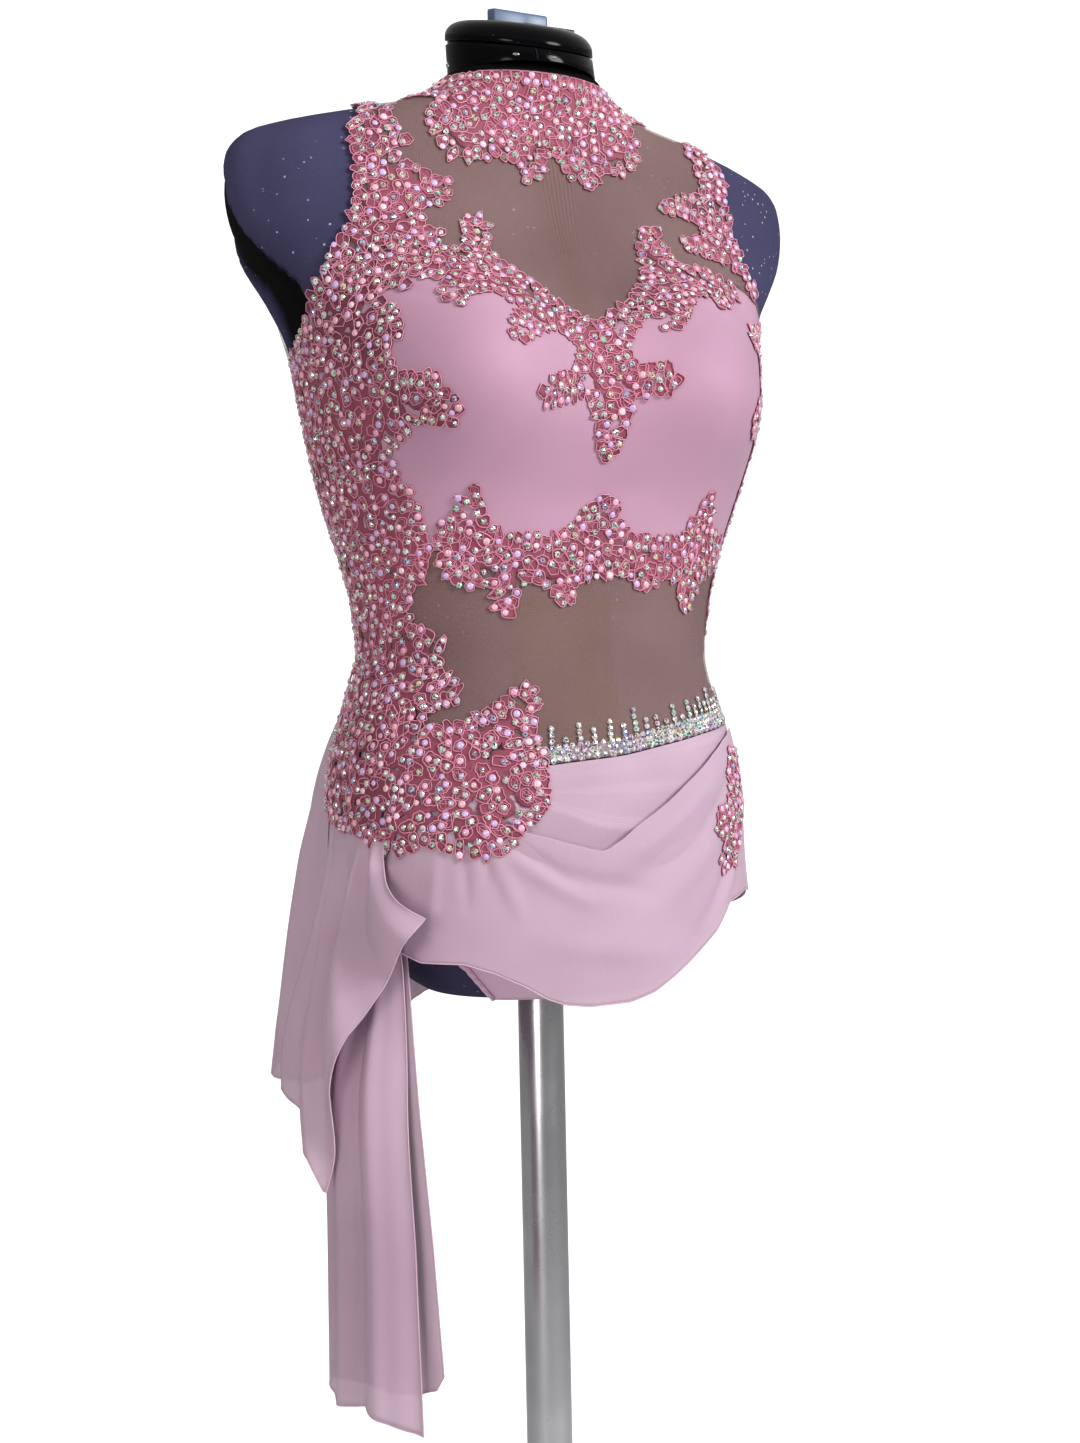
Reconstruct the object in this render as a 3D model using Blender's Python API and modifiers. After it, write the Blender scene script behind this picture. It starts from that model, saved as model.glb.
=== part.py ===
"""Lyrical dance dress worn by a limbless dress form on a pole and round base.

Metres, +Z up, front towards -Y, the wearer's right towards -X. The origin is the centre of the base's
flat underside. Every cloth piece is a closed wall that follows one body surface, which is given by
an angle about the upright axis (0 at the front, positive to the wearer's left) and a height above
the form's flat bottom.
"""

import math
import random

import bmesh
import bpy
import numpy as np
from mathutils import Vector
from mathutils.geometry import delaunay_2d_cdt

FORM_BOTTOM = 0.85
TORSO_TOP = 0.630
POLE_RADIUS = 0.016
BASE_RADIUS = 0.185
BASE_HEIGHT = 0.020
COLLAR_SEAM = 0.6045
COLLAR_TOP = 0.6250
SIDE_SEAM = 88.0
SEAM_GAP = 0.0003
HANG_HEIGHT = 0.095
FLAP_RELEASE = 0.098
BACK_RELEASE = 0.125

CLOTH = (0.0006, 0.0018)
BAND = (0.0021, 0.0030)
LACE = (0.0021, 0.0034)
DRAPE = (0.0026, 0.0038)
LACE_LIFT = 0.0006
LACE_WALL = 0.0013
RAISE = 0.0006

# height above the form's bottom, half width, front depth, back depth, roundness, shift to the back
SECTIONS = np.array([
    (0.000, 0.081, 0.072, 0.074, 2.2, 0.000),
    (0.007, 0.092, 0.082, 0.086, 2.2, 0.000),
    (0.023, 0.109, 0.094, 0.100, 2.2, 0.000),
    (0.043, 0.125, 0.103, 0.111, 2.2, 0.000),
    (0.068, 0.140, 0.109, 0.118, 2.2, 0.000),
    (0.093, 0.146, 0.111, 0.118, 2.2, 0.000),
    (0.128, 0.145, 0.109, 0.112, 2.2, 0.000),
    (0.163, 0.140, 0.103, 0.100, 2.2, 0.000),
    (0.198, 0.130, 0.096, 0.088, 2.2, 0.000),
    (0.228, 0.124, 0.091, 0.082, 2.2, 0.000),
    (0.263, 0.127, 0.089, 0.082, 2.2, 0.000),
    (0.298, 0.136, 0.089, 0.085, 2.2, 0.000),
    (0.338, 0.148, 0.090, 0.092, 2.2, 0.000),
    (0.383, 0.158, 0.091, 0.098, 2.2, 0.000),
    (0.415, 0.164, 0.090, 0.100, 2.2, 0.001),
    (0.445, 0.171, 0.086, 0.100, 2.3, 0.004),
    (0.470, 0.182, 0.080, 0.099, 2.4, 0.008),
    (0.495, 0.195, 0.074, 0.097, 2.5, 0.012),
    (0.520, 0.203, 0.069, 0.093, 2.6, 0.014),
    (0.545, 0.206, 0.064, 0.087, 2.7, 0.015),
    (0.562, 0.204, 0.060, 0.080, 2.7, 0.015),
    (0.576, 0.195, 0.056, 0.073, 2.6, 0.014),
    (0.586, 0.174, 0.053, 0.068, 2.4, 0.012),
    (0.595, 0.140, 0.050, 0.064, 2.3, 0.009),
    (0.603, 0.104, 0.048, 0.061, 2.1, 0.006),
    (0.612, 0.078, 0.047, 0.059, 2.0, 0.003),
    (0.625, 0.061, 0.046, 0.057, 2.0, 0.001),
    (0.645, 0.053, 0.046, 0.055, 2.0, 0.000),
])
BUST_SIDE = 0.088
BUST_HEIGHT = 0.405
BUST_DEPTH = 0.052
BUST_WIDTH = 0.048
BUST_ABOVE = 0.052
BUST_BELOW = 0.044
ARM_BULGE = 0.007
NECK_RADIUS = 0.0523
NECK_LEAN = 0.31
NECK_RING_TOP = 0.6550
NECK_LID_TOP = 0.6717

BODY_ROWS = [
    0.000, 0.012, 0.030, 0.052, 0.075, 0.102, 0.132, 0.162, 0.190, 0.218, 0.258, 0.302,
    0.328, 0.352, 0.374, 0.394, 0.414, 0.434, 0.455, 0.480, 0.505, 0.530, 0.552, 0.570, 0.582,
    0.591, 0.598, 0.603, 0.610, 0.630,
]
DRAPE_ROWS = [
    -0.040, -0.020, 0.000, 0.012, 0.030, 0.041, 0.052, 0.064, 0.075, 0.089, 0.102, 0.112, 0.122,
    0.132, 0.142, 0.152, 0.162, 0.176,
] + BODY_ROWS[8:]
BACK_ROWS = [-0.090, -0.060, -0.030] + BODY_ROWS
COLUMN_STEP = 12.0
METRES_PER_DEGREE = 0.0024
SHOULDER_SLOPE = 0.575


def slopes(x, y):
    """Slopes of a curve through the points that never overshoots them."""
    step = np.diff(x)
    rise = np.diff(y) / step
    found = np.zeros_like(y)
    for i in range(1, len(x) - 1):
        if rise[i - 1] * rise[i] > 0:
            before = 2 * step[i] + step[i - 1]
            after = step[i] + 2 * step[i - 1]
            found[i] = (before + after) / (before / rise[i - 1] + after / rise[i])
    found[0], found[-1] = rise[0], rise[-1]
    return found


SLOPES = [slopes(SECTIONS[:, 0], SECTIONS[:, k]) for k in range(1, 6)]


def section(height, k):
    x, y, m = SECTIONS[:, 0], SECTIONS[:, k], SLOPES[k - 1]
    i = np.clip(np.searchsorted(x, height) - 1, 0, len(x) - 2)
    width = x[i + 1] - x[i]
    s = (height - x[i]) / width
    near = (1 + 2 * s) * (1 - s) ** 2 * y[i] + s * (1 - s) ** 2 * width * m[i]
    return near + s * s * (3 - 2 * s) * y[i + 1] + s * s * (s - 1) * width * m[i + 1]


def smooth(value):
    value = np.clip(value, 0.0, 1.0)
    return value * value * (3 - 2 * value)


def body(angle, height):
    """Points of the torso's surface, with z measured from the form's bottom."""
    turn = np.radians(angle)
    height = np.clip(height, SECTIONS[0, 0], SECTIONS[-1, 0])
    half, front, back, roundness, shift = (section(height, k) for k in range(1, 6))
    sine, cosine = np.sin(turn), np.cos(turn)
    to_side = np.degrees(np.arcsin(np.clip(np.abs(sine), 0, 1)))
    plate = smooth((height - 0.470) / 0.060) * smooth((0.594 - height) / 0.022)
    plate = plate * smooth((to_side - 66) / 16)
    x = (half * np.abs(sine) ** (2 / roundness) + ARM_BULGE * plate) * np.sign(sine)
    lean = np.abs(cosine) ** (2 / roundness)
    y = -np.where(cosine > 0, front, back) * np.sign(cosine) * lean + shift
    spread = np.where(height > BUST_HEIGHT, BUST_ABOVE, BUST_BELOW)
    fall = np.exp(-((height - BUST_HEIGHT) ** 2) / (2 * spread**2))
    cups = np.exp(-((x - BUST_SIDE) ** 2) / (2 * BUST_WIDTH**2))
    cups = cups + np.exp(-((x + BUST_SIDE) ** 2) / (2 * BUST_WIDTH**2))
    facing = smooth(lean * (cosine > 0) / 0.5)
    return np.stack([x, y - BUST_DEPTH * fall * cups * facing, height + 0 * x], -1)


def unit(vectors):
    return vectors / np.maximum(np.linalg.norm(vectors, axis=-1, keepdims=True), 1e-12)


def normals(angle, height):
    across = body(angle + 0.2, height) - body(angle - 0.2, height)
    along = body(angle, height + 0.001) - body(angle, height - 0.001)
    return unit(np.cross(across, along))


def lifted(angle, height, out):
    """The body surface moved out, and below the hips the cloth hangs straight down."""
    angle, height, out = (np.asarray(v, float) for v in np.broadcast_arrays(angle, height, out))
    held = np.maximum(height, HANG_HEIGHT)
    outward = normals(angle, held)
    level = outward.copy()
    level[..., 2] = 0
    share = np.clip((HANG_HEIGHT + 0.05 - height) / 0.05, 0, 1)[..., None]
    points = body(angle, held) + unit(outward * (1 - share) + unit(level) * share) * out[..., None]
    points[..., 2] = np.where(height < HANG_HEIGHT, height, points[..., 2]) + FORM_BOTTOM
    return points


def on_body(angle, height, out):
    points = body(angle, height) + normals(angle, height) * np.asarray(out)[..., None]
    points[..., 2] += FORM_BOTTOM
    return points


def table(rows, angle):
    """A height or an amount read from rows of (angle, value)."""
    return np.interp(angle, [r[0] for r in rows], [r[1] for r in rows])


# angle, height of the seam above the skirt
SKIRT_SEAM = [
    (-180, 0.202), (-120, 0.212), (-103, 0.210), (-90, 0.203), (-60, 0.180), (-30, 0.158),
    (-15, 0.154), (4, 0.159), (17, 0.165), (36, 0.172), (60, 0.178), (90, 0.186), (180, 0.202),
]
# angle, height of the sweetheart neckline on each side of the centre front
SWEETHEART = [
    (0, 0.433), (5, 0.445), (10, 0.457), (15, 0.472), (20, 0.482), (30, 0.487), (40, 0.487),
    (55, 0.478), (66, 0.466),
]
UNDERBUST = 0.2950
# angle, height of the armhole from the shoulder to the side seam, front then back
ARMHOLE_FRONT = [
    (90, 0.5985), (72, 0.5972), (55, 0.5920), (42, 0.5840), (37, 0.5680), (35, 0.5480),
    (37, 0.5250), (44, 0.5020), (54, 0.4840), (66, 0.4660), (78, 0.4460), (88, 0.4320),
]
ARMHOLE_BACK = [
    (90, 0.5985), (108, 0.5972), (125, 0.5920), (138, 0.5840), (143, 0.5680), (144, 0.5480),
    (141, 0.5250), (134, 0.5000), (124, 0.4780), (112, 0.4560), (100, 0.4400), (92, 0.4320),
]
# angle, height of the leg opening, front then back
LEG_FRONT = [
    (45, 0.000), (46, 0.010), (48, 0.022), (54, 0.038), (62, 0.055), (72, 0.072), (88, 0.088),
]
LEG_BACK = [
    (148, 0.000), (145, 0.012), (135, 0.035), (120, 0.060), (105, 0.080), (92, 0.088),
]

# the lips of the front drape's folds: angle, height
COWL_LIP = [
    (-40, 0.104), (-27, 0.116), (-15, 0.108), (-2, 0.098), (5, 0.116), (16, 0.132), (32, 0.151),
    (52, 0.168), (62, 0.174),
]
COWL_SECOND = [(-40, 0.130), (-15, 0.131), (-3, 0.122), (5, 0.127), (22, 0.146), (40, 0.164)]
DRAPE_HEM = [
    (-56, 0.038), (-48, 0.029), (-36, 0.028), (-28, 0.020), (-20, 0.011), (-15, 0.002),
    (-11, -0.001), (-5, 0.000), (3, 0.001), (9, 0.006), (20, 0.022), (32, 0.040), (39, 0.058),
    (52, 0.064), (58, 0.062),
]
BACK_HEM = [
    (58, 0.063), (75, 0.055), (100, 0.040), (130, 0.014), (160, -0.006), (185, -0.018),
    (198, -0.024), (212, -0.050), (230, -0.060), (255, -0.062),
]


def drape_out(angle, height):
    """How far the front drape stands off the body, with its cowl folds."""
    left_fade = smooth((angle + 34) / 14) * smooth((66 - angle) / 16)
    lip = table(COWL_LIP, angle) - height
    second = table(COWL_SECOND, angle) - height
    folds = 0.0065 * smooth(lip / 0.012) * (1 - 0.35 * smooth((lip - 0.015) / 0.06))
    folds = folds + 0.0028 * smooth(second / 0.008) * (1 - smooth((second - 0.008) / 0.012))
    hanging = 0.0030 * smooth((0.10 - height) / 0.06)
    ripple = 0.0022 * np.sin(np.radians(angle * 7.0 + 40)) * smooth((0.085 - height) / 0.06)
    return DRAPE[0] + folds * left_fade + hanging + ripple + 0.0006


def back_out(angle, height):
    """How far the back skirt stands off the body, in soft flutes that deepen to the hem."""
    drop = np.clip((BACK_RELEASE - height) / 0.185, 0, 1)
    flare = 0.016 * drop + 0.010 * drop * np.sin(np.radians(angle * 6.5 + 20))
    flare = flare * smooth((angle - 56) / 50)
    valley = 0.030 * drop * np.exp(-(((angle - 266) / 7.0) ** 2))
    stand = 0.008 * drop * np.exp(-(((angle - 250) / 11.0) ** 2))
    from_waist = np.clip((0.212 - height) / 0.24, 0, 1) ** 0.5
    stand = stand + 0.025 * from_waist * np.exp(-(((angle - 237) / 12.0) ** 2))
    return DRAPE[0] + np.maximum(flare + stand - valley, 0.004 * drop)


def flap_out(across, height, hem):
    """How far the front flap of the cascade stands off the body, flat where the lace lies on it."""
    waves = 0.88 + 0.12 * np.cos(2 * np.pi * (1.7 * across + 0.05))
    share = np.clip((FLAP_RELEASE - height) / (FLAP_RELEASE - hem), 0, 1)
    return DRAPE[0] + 0.0002 + 0.0345 * smooth(share * 1.1) * waves


class Grid:
    """Rows and columns that neighbouring pieces share, so that their facets stay parallel."""

    def __init__(self, rows, place):
        self.rows = np.array(rows)
        self.columns = np.arange(-192.0, 373.0, COLUMN_STEP)
        angles, heights = np.meshgrid(self.columns, self.rows)
        self.points = place(angles, heights)

    def at(self, angle, height):
        """The point of the facet at this angle and height."""
        i = int(np.clip((angle - self.columns[0]) // COLUMN_STEP, 0, len(self.columns) - 2))
        j = int(np.clip(np.searchsorted(self.rows, height, "right") - 1, 0, len(self.rows) - 2))
        a = (angle - self.columns[i]) / COLUMN_STEP
        b = (height - self.rows[j]) / (self.rows[j + 1] - self.rows[j])
        p = self.points
        if a >= b:
            return p[j, i] * (1 - a) + p[j, i + 1] * (a - b) + p[j + 1, i + 1] * b
        return p[j, i] * (1 - b) + p[j + 1, i] * (b - a) + p[j + 1, i + 1] * a


def inside(point, outline):
    """Whether the point lies in the closed outline."""
    x, y = point
    found = False
    for (ax, ay), (bx, by) in zip(outline, outline[1:] + outline[:1]):
        if (ay > y) != (by > y) and x < (bx - ax) * (y - ay) / (by - ay) + ax:
            found = not found
    return found


def triangulated(outline, rows):
    """Vertices (angle, height) and triangles of the outline, cut along the shared grid."""
    flat = [(a * METRES_PER_DEGREE, h) for a, h in outline]
    low_a, high_a = min(a for a, _ in outline), max(a for a, _ in outline)
    low_h, high_h = min(h for _, h in outline), max(h for _, h in outline)
    columns = np.arange(-192.0, 373.0, COLUMN_STEP)
    columns = [c for c in columns if low_a - COLUMN_STEP < c < high_a + COLUMN_STEP]
    first = max(np.searchsorted(rows, low_h, "right") - 1, 0)
    last = min(np.searchsorted(rows, high_h) + 1, len(rows))
    heights = list(rows[first:last])
    vertices = [Vector(p) for p in flat]
    edges = [(i, (i + 1) % len(flat)) for i in range(len(flat))]
    start = len(vertices)
    wide = len(columns)
    for h in heights:
        vertices += [Vector((c * METRES_PER_DEGREE, h)) for c in columns]
    for j in range(len(heights)):
        for i in range(wide):
            here = start + j * wide + i
            if i + 1 < wide:
                edges.append((here, here + 1))
            if j + 1 < len(heights):
                edges.append((here, here + wide))
            if i + 1 < wide and j + 1 < len(heights):
                edges.append((here, here + wide + 1))
    found = delaunay_2d_cdt(vertices, edges, [], 0, 2e-5)
    points, triangles = found[0], []
    for face in found[2]:
        middle = sum((points[i] for i in face), Vector((0.0, 0.0))) / len(face)
        if inside((middle.x, middle.y), flat):
            triangles.append(tuple(face))
    used = sorted({i for t in triangles for i in t})
    order = {old: new for new, old in enumerate(used)}
    places = [(points[i].x / METRES_PER_DEGREE, points[i].y) for i in used]
    return places, [tuple(order[i] for i in t) for t in triangles]


def material(name, colour, roughness, metallic=0.0):
    made = bpy.data.materials.new(name)
    made.use_nodes = True
    shader = made.node_tree.nodes["Principled BSDF"]
    shader.inputs["Base Color"].default_value = (*colour, 1.0)
    shader.inputs["Roughness"].default_value = roughness
    shader.inputs["Metallic"].default_value = metallic
    made.diffuse_color = (*colour, 1.0)
    return made


def add_mesh(name, vertices, faces, look, rounded=False):
    mesh = bpy.data.meshes.new(name)
    mesh.from_pydata([tuple(map(float, v)) for v in vertices], [], faces)
    mesh.validate()
    mesh.update()
    obj = bpy.data.objects.new(name, mesh)
    DRESS.objects.link(obj)
    mesh.materials.append(look)
    for face in mesh.polygons:
        face.use_smooth = rounded
    return obj


def closed_wall(name, inner, outer, triangles, look):
    """A wall from matching inner and outer points, with its rim closed."""
    count = len(inner)
    sides = {}
    for a, b, c in triangles:
        for edge in ((a, b), (b, c), (c, a)):
            sides[edge] = True
    rim = [e for e in sides if (e[1], e[0]) not in sides]
    faces = [(a + count, b + count, c + count) for a, b, c in triangles]
    faces += [(c, b, a) for a, b, c in triangles]
    faces += [(b, b + count, a + count, a) for a, b in rim]
    return add_mesh(name, list(inner) + list(outer), faces, look)


def region_piece(name, outline, grids, look):
    """A piece of cloth that fills the outline between the grid's inner and outer surface."""
    inner_grid, outer_grid = grids
    places, triangles = triangulated(outline, inner_grid.rows)
    turned = []
    for a, b, c in triangles:
        (ax, ay), (bx, by), (cx, cy) = places[a], places[b], places[c]
        left = (bx - ax) * (cy - ay) - (by - ay) * (cx - ax) > 0
        turned.append((a, b, c) if left else (a, c, b))
    inner = [inner_grid.at(a, h) for a, h in places]
    outer = [outer_grid.at(a, h) for a, h in places]
    return closed_wall(name, inner, outer, turned, look)


def petals(outline, seed, step=0.0120, depth=0.0030):
    """The outline with small uneven scallops along its edges."""
    chance = random.Random(seed)
    flat = [Vector((a * METRES_PER_DEGREE, h)) for a, h in outline]
    area = sum(p.x * q.y - q.x * p.y for p, q in zip(flat, flat[1:] + flat[:1]))
    side = -1.0 if area > 0 else 1.0
    made = []
    for p, q in zip(flat, flat[1:] + flat[:1]):
        along = q - p
        wide = step * (2.5 if min(p.y, q.y) > SHOULDER_SLOPE else 1.0)
        parts = max(1, int(round(along.length / wide)))
        away = Vector((-along.y, along.x)).normalized() * side
        made.append(p)
        for k in range(1, parts):
            reach = depth * (0.3 + 0.7 * chance.random()) * (1 if k % 2 else 0.1)
            if p.y > SHOULDER_SLOPE and q.y > SHOULDER_SLOPE:
                reach *= 0.1
            made.append(p + along * (k / parts) + away * reach)
    return [(v.x / METRES_PER_DEGREE, v.y) for v in made]


def spun(name, profile, look, steps=28):
    """A turned solid from (radius, z) rows that begin and end on the axis."""
    mesh = bpy.data.meshes.new(name)
    mesh.from_pydata([(r, 0.0, z) for r, z in profile], [(i, i + 1) for i in range(len(profile) - 1)], [])
    obj = bpy.data.objects.new(name, mesh)
    DRESS.objects.link(obj)
    mesh.materials.append(look)
    turning = obj.modifiers.new("turn", "SCREW")
    turning.steps = turning.render_steps = steps
    turning.use_merge_vertices = True
    turning.merge_threshold = 0.0001
    turning.use_smooth_shade = True
    turning.use_normal_flip = True
    return obj


def leaning_cap(name, profile, steps=28):
    """A turned part of the neck cap, sheared so that it leans to the front above the torso's top."""
    shape = bmesh.new()
    spots = [shape.verts.new((r, 0.0, FORM_BOTTOM + h)) for r, h in profile]
    edges = [shape.edges.new(pair) for pair in zip(spots, spots[1:])]
    bmesh.ops.spin(
        shape, geom=spots + edges, cent=(0, 0, 0), axis=(0, 0, 1), dvec=(0, 0, 0),
        angle=math.tau, steps=steps, use_merge=True,
    )
    bmesh.ops.remove_doubles(shape, verts=list(shape.verts), dist=0.0001)
    bmesh.ops.recalc_face_normals(shape, faces=list(shape.faces))
    rise = NECK_RING_TOP - TORSO_TOP - SEAM_GAP
    for spot in shape.verts:
        share = (spot.co.z - FORM_BOTTOM - TORSO_TOP - SEAM_GAP) / rise
        spot.co.z += NECK_LEAN * spot.co.y * min(max(share, 0.0), 1.0)
    mesh = bpy.data.meshes.new(name)
    shape.to_mesh(mesh)
    shape.free()
    mesh.materials.append(BLACK_CAP)
    DRESS.objects.link(bpy.data.objects.new(name, mesh))


for old in list(bpy.data.objects):
    bpy.data.objects.remove(old, do_unlink=True)
DRESS = bpy.data.collections.new("lyrical_dance_dress_on_form")
bpy.context.scene.collection.children.link(DRESS)

MESH_CLOTH = material("taupe_mesh", (0.225, 0.136, 0.114), 0.75)
SATIN = material("rose_satin", (0.545, 0.296, 0.342), 0.45)
CHIFFON = material("pink_chiffon", (0.578, 0.376, 0.413), 0.80)
BINDING = material("pink_binding", (0.45, 0.24, 0.28), 0.60)
CORDED_LACE = material("corded_lace", (0.62, 0.20, 0.24), 0.50)
CRYSTALS = material("crystal_trim", (0.60, 0.58, 0.64), 0.25)
KNIT = material("violet_knit", (0.040, 0.032, 0.052), 0.90)
BLACK_CAP = material("gloss_black", (0.006, 0.006, 0.008), 0.12)
BLUE_KNOB = material("blue_grey_knob", (0.050, 0.085, 0.150), 0.35)
STEEL = material("satin_steel", (0.55, 0.55, 0.56), 0.30, 1.0)
BASE_PAINT = material("black_paint", (0.012, 0.012, 0.014), 0.40)


def build_form():
    """The padded torso, the neck cap with its knob, and the pole and base under it."""
    columns = np.arange(0.0, 360.0, COLUMN_STEP)
    wide = len(columns)
    points = []
    for h in BODY_ROWS:
        ring = body(columns, np.full(wide, h))
        ring[:, 2] += FORM_BOTTOM
        points += list(ring)
    faces = []
    for j in range(len(BODY_ROWS) - 1):
        for i in range(wide):
            k = (i + 1) % wide
            low, high = j * wide, (j + 1) * wide
            faces.append((low + i, low + k, high + k))
            faces.append((low + i, high + k, high + i))
    last = (len(BODY_ROWS) - 1) * wide
    faces.append(tuple(reversed(range(wide))))
    faces.append(tuple(range(last, last + wide)))
    add_mesh("form_torso", points, faces, KNIT, rounded=True)

    wide, soft = NECK_RADIUS, 0.0010
    low, high = TORSO_TOP + SEAM_GAP, NECK_RING_TOP
    leaning_cap("form_neck_ring", [
        (0.0, low), (wide - soft, low), (wide, low + soft),
        (wide, high - soft), (wide - soft, high), (0.0, high),
    ])
    low, high, curve = NECK_RING_TOP + SEAM_GAP, NECK_LID_TOP, 0.0092
    corner = [
        (wide - curve + curve * math.cos(math.radians(a)), high - curve + curve * math.sin(math.radians(a)))
        for a in (0, 30, 60, 90)
    ]
    foot = [(0.0, low), (wide - soft, low), (wide, low + soft)]
    leaning_cap("form_neck_lid", foot + corner + [(0.0, high)])
    low = high + SEAM_GAP
    corners = [(-0.0215, -0.014), (0.0215, -0.014), (0.0215, 0.014), (-0.0215, 0.014)]
    box = [(x, y, FORM_BOTTOM + h + NECK_LEAN * y) for h in (low, low + 0.0103) for x, y in corners]
    sides = [(0, 1, 5, 4), (1, 2, 6, 5), (2, 3, 7, 6), (3, 0, 4, 7), (3, 2, 1, 0), (4, 5, 6, 7)]
    knob = add_mesh("form_knob", box, sides, BLUE_KNOB)
    edge = knob.modifiers.new("soft_edges", "BEVEL")
    edge.width = 0.0015
    edge.segments = 1

    pole_low, pole_high = BASE_HEIGHT + 0.0120 + SEAM_GAP, FORM_BOTTOM - SEAM_GAP
    spun("form_pole", [
        (0.0, pole_low), (POLE_RADIUS, pole_low), (POLE_RADIUS, pole_high), (0.0, pole_high),
    ], STEEL, steps=24)
    spun("form_base", [
        (0.0, 0.0), (BASE_RADIUS - 0.002, 0.0), (BASE_RADIUS, 0.003), (BASE_RADIUS, 0.010),
        (BASE_RADIUS - 0.006, 0.0155), (0.050, BASE_HEIGHT), (0.030, BASE_HEIGHT + 0.008),
        (0.026, BASE_HEIGHT + 0.0120), (0.0, BASE_HEIGHT + 0.0120),
    ], BASE_PAINT)


def sweetheart(side, gap):
    return [(side * a, h + gap) for a, h in SWEETHEART]


def build_bodice(grids):
    """The leotard: collar, yoke, bust panel, midriff, back and brief."""
    gap = SEAM_GAP
    top_arm, low_arm = ARMHOLE_FRONT[:10], ARMHOLE_FRONT[9:]
    yoke = sweetheart(1, gap) + [(66.2, 0.4663 + gap)] + list(reversed(top_arm[:-1]))
    yoke = [(min(a, 89.7), h) for a, h in yoke] + [(89.7, COLLAR_SEAM - gap)]
    outline = yoke + [(-a, h) for a, h in reversed(yoke)][:-1]
    region_piece("yoke_front", outline, grids, MESH_CLOTH)

    bust = sweetheart(1, -gap)[:-1] + [(65.8, 0.4658 - gap)] + low_arm[1:]
    bust = bust[:-1] + [(SIDE_SEAM - 0.15, 0.4322), (SIDE_SEAM - 0.15, UNDERBUST + gap)]
    outline = bust + [(-a, h) for a, h in reversed(bust)][:-1]
    region_piece("bust_panel", outline, grids, SATIN)

    edge = SIDE_SEAM - 0.15
    steps = np.arange(-84.0, 85.0, 12.0)
    waist = [(edge, table(SKIRT_SEAM, edge) + gap)]
    waist += [(a, table(SKIRT_SEAM, a) + gap) for a in reversed(steps)]
    waist += [(-edge, table(SKIRT_SEAM, -edge) + gap)]
    outline = [(-edge, UNDERBUST - gap), (edge, UNDERBUST - gap)] + waist
    region_piece("midriff_front", outline, grids, MESH_CLOTH)

    side = SIDE_SEAM + 0.15
    around = [side] + list(np.arange(96.0, 265.0, 12.0)) + [360 - side]
    waist = [(a, table(SKIRT_SEAM, a if a <= 180 else a - 360) + gap) for a in around]
    left_arm = [(max(a, 90.3), h) for a, h in reversed(ARMHOLE_BACK)]
    right_arm = [(360 - a, h) for a, h in reversed(left_arm)]
    outline = waist + [(360 - side, 0.4322)] + right_arm[::-1]
    outline += [(269.7, COLLAR_SEAM - gap), (90.3, COLLAR_SEAM - gap)]
    outline += left_arm[::-1] + [(side, 0.4322)]
    region_piece("back_bodice", outline, grids, MESH_CLOTH)

    collar = [(-179.8, COLLAR_SEAM), (179.8, COLLAR_SEAM), (179.8, COLLAR_TOP), (-179.8, COLLAR_TOP)]
    region_piece("collar", collar, grids, MESH_CLOTH)

    steps = np.arange(-84.0, 85.0, 12.0)
    waist = [(a, table(SKIRT_SEAM, a) - gap) for a in [-edge] + list(steps) + [edge]]
    legs = [(-a, h) for a, h in reversed(LEG_FRONT)] + list(LEG_FRONT)
    legs = [(float(np.clip(a, -edge, edge)), h) for a, h in legs]
    region_piece("brief_front", legs + waist[::-1], grids, BINDING)

    waist = [(a, table(SKIRT_SEAM, a if a <= 180 else a - 360) - gap) for a in around]
    legs = [(max(a, side), h) for a, h in reversed(LEG_BACK)]
    legs = legs + [(360 - a, h) for a, h in reversed(legs)]
    region_piece("brief_back", legs + waist[::-1], grids, BINDING)


def leg_band(side, rows, lift):
    """The outline of a narrow binding that follows a leg opening."""
    flat = [Vector((a * METRES_PER_DEGREE, h)) for a, h in rows]
    raised = []
    for k, p in enumerate(flat):
        run = (flat[min(k + 1, len(flat) - 1)] - flat[max(k - 1, 0)]).normalized()
        away = Vector((-run.y, run.x)) * side
        raised.append(p + away * lift)
    raised = [(v.x / METRES_PER_DEGREE, max(v.y, 0.0)) for v in raised]
    return rows + raised[::-1]


def build_brief_trim(grids):
    """Leg bindings on the brief, and the gusset that passes beside the pole."""
    for name, sign in (("binding_right", -1), ("binding_left", 1)):
        front = [(sign * min(a, SIDE_SEAM - 0.4), h + 0.0004) for a, h in LEG_FRONT]
        outline = leg_band(sign, front, 0.006)
        region_piece(name + "_front", outline, grids, BINDING)
        back = [(max(a, SIDE_SEAM + 0.4), h + 0.0004) for a, h in LEG_BACK]
        back = back if sign > 0 else [(360 - a, h) for a, h in back]
        outline = leg_band(-sign, back, 0.006)
        region_piece(name + "_back", outline, grids, BINDING)
    high = FORM_BOTTOM - 0.0004
    low = high - 0.0012
    front = [on_body(np.array(float(a)), np.array(0.0), -0.0003)[:2] for a in range(-42, 43, 12)]
    back = [on_body(np.array(float(a)), np.array(0.0), -0.0003)[:2] for a in range(152, 209, 14)]
    left = [(0.071, -0.025), (0.073, 0.0), (0.071, 0.025)]
    right = [(-0.010, 0.040), (0.022, 0.014), (0.025, 0.0), (0.022, -0.014), (-0.010, -0.040)]
    loop = [tuple(p) for p in front] + left + [tuple(p) for p in back] + right
    count = len(loop)
    vertices = [(x, y, low) for x, y in loop] + [(x, y, high) for x, y in loop]
    faces = [tuple(reversed(range(count))), tuple(range(count, 2 * count))]
    faces += [(i, (i + 1) % count, (i + 1) % count + count, i + count) for i in range(count)]
    add_mesh("gusset", vertices, faces, BINDING)


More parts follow.
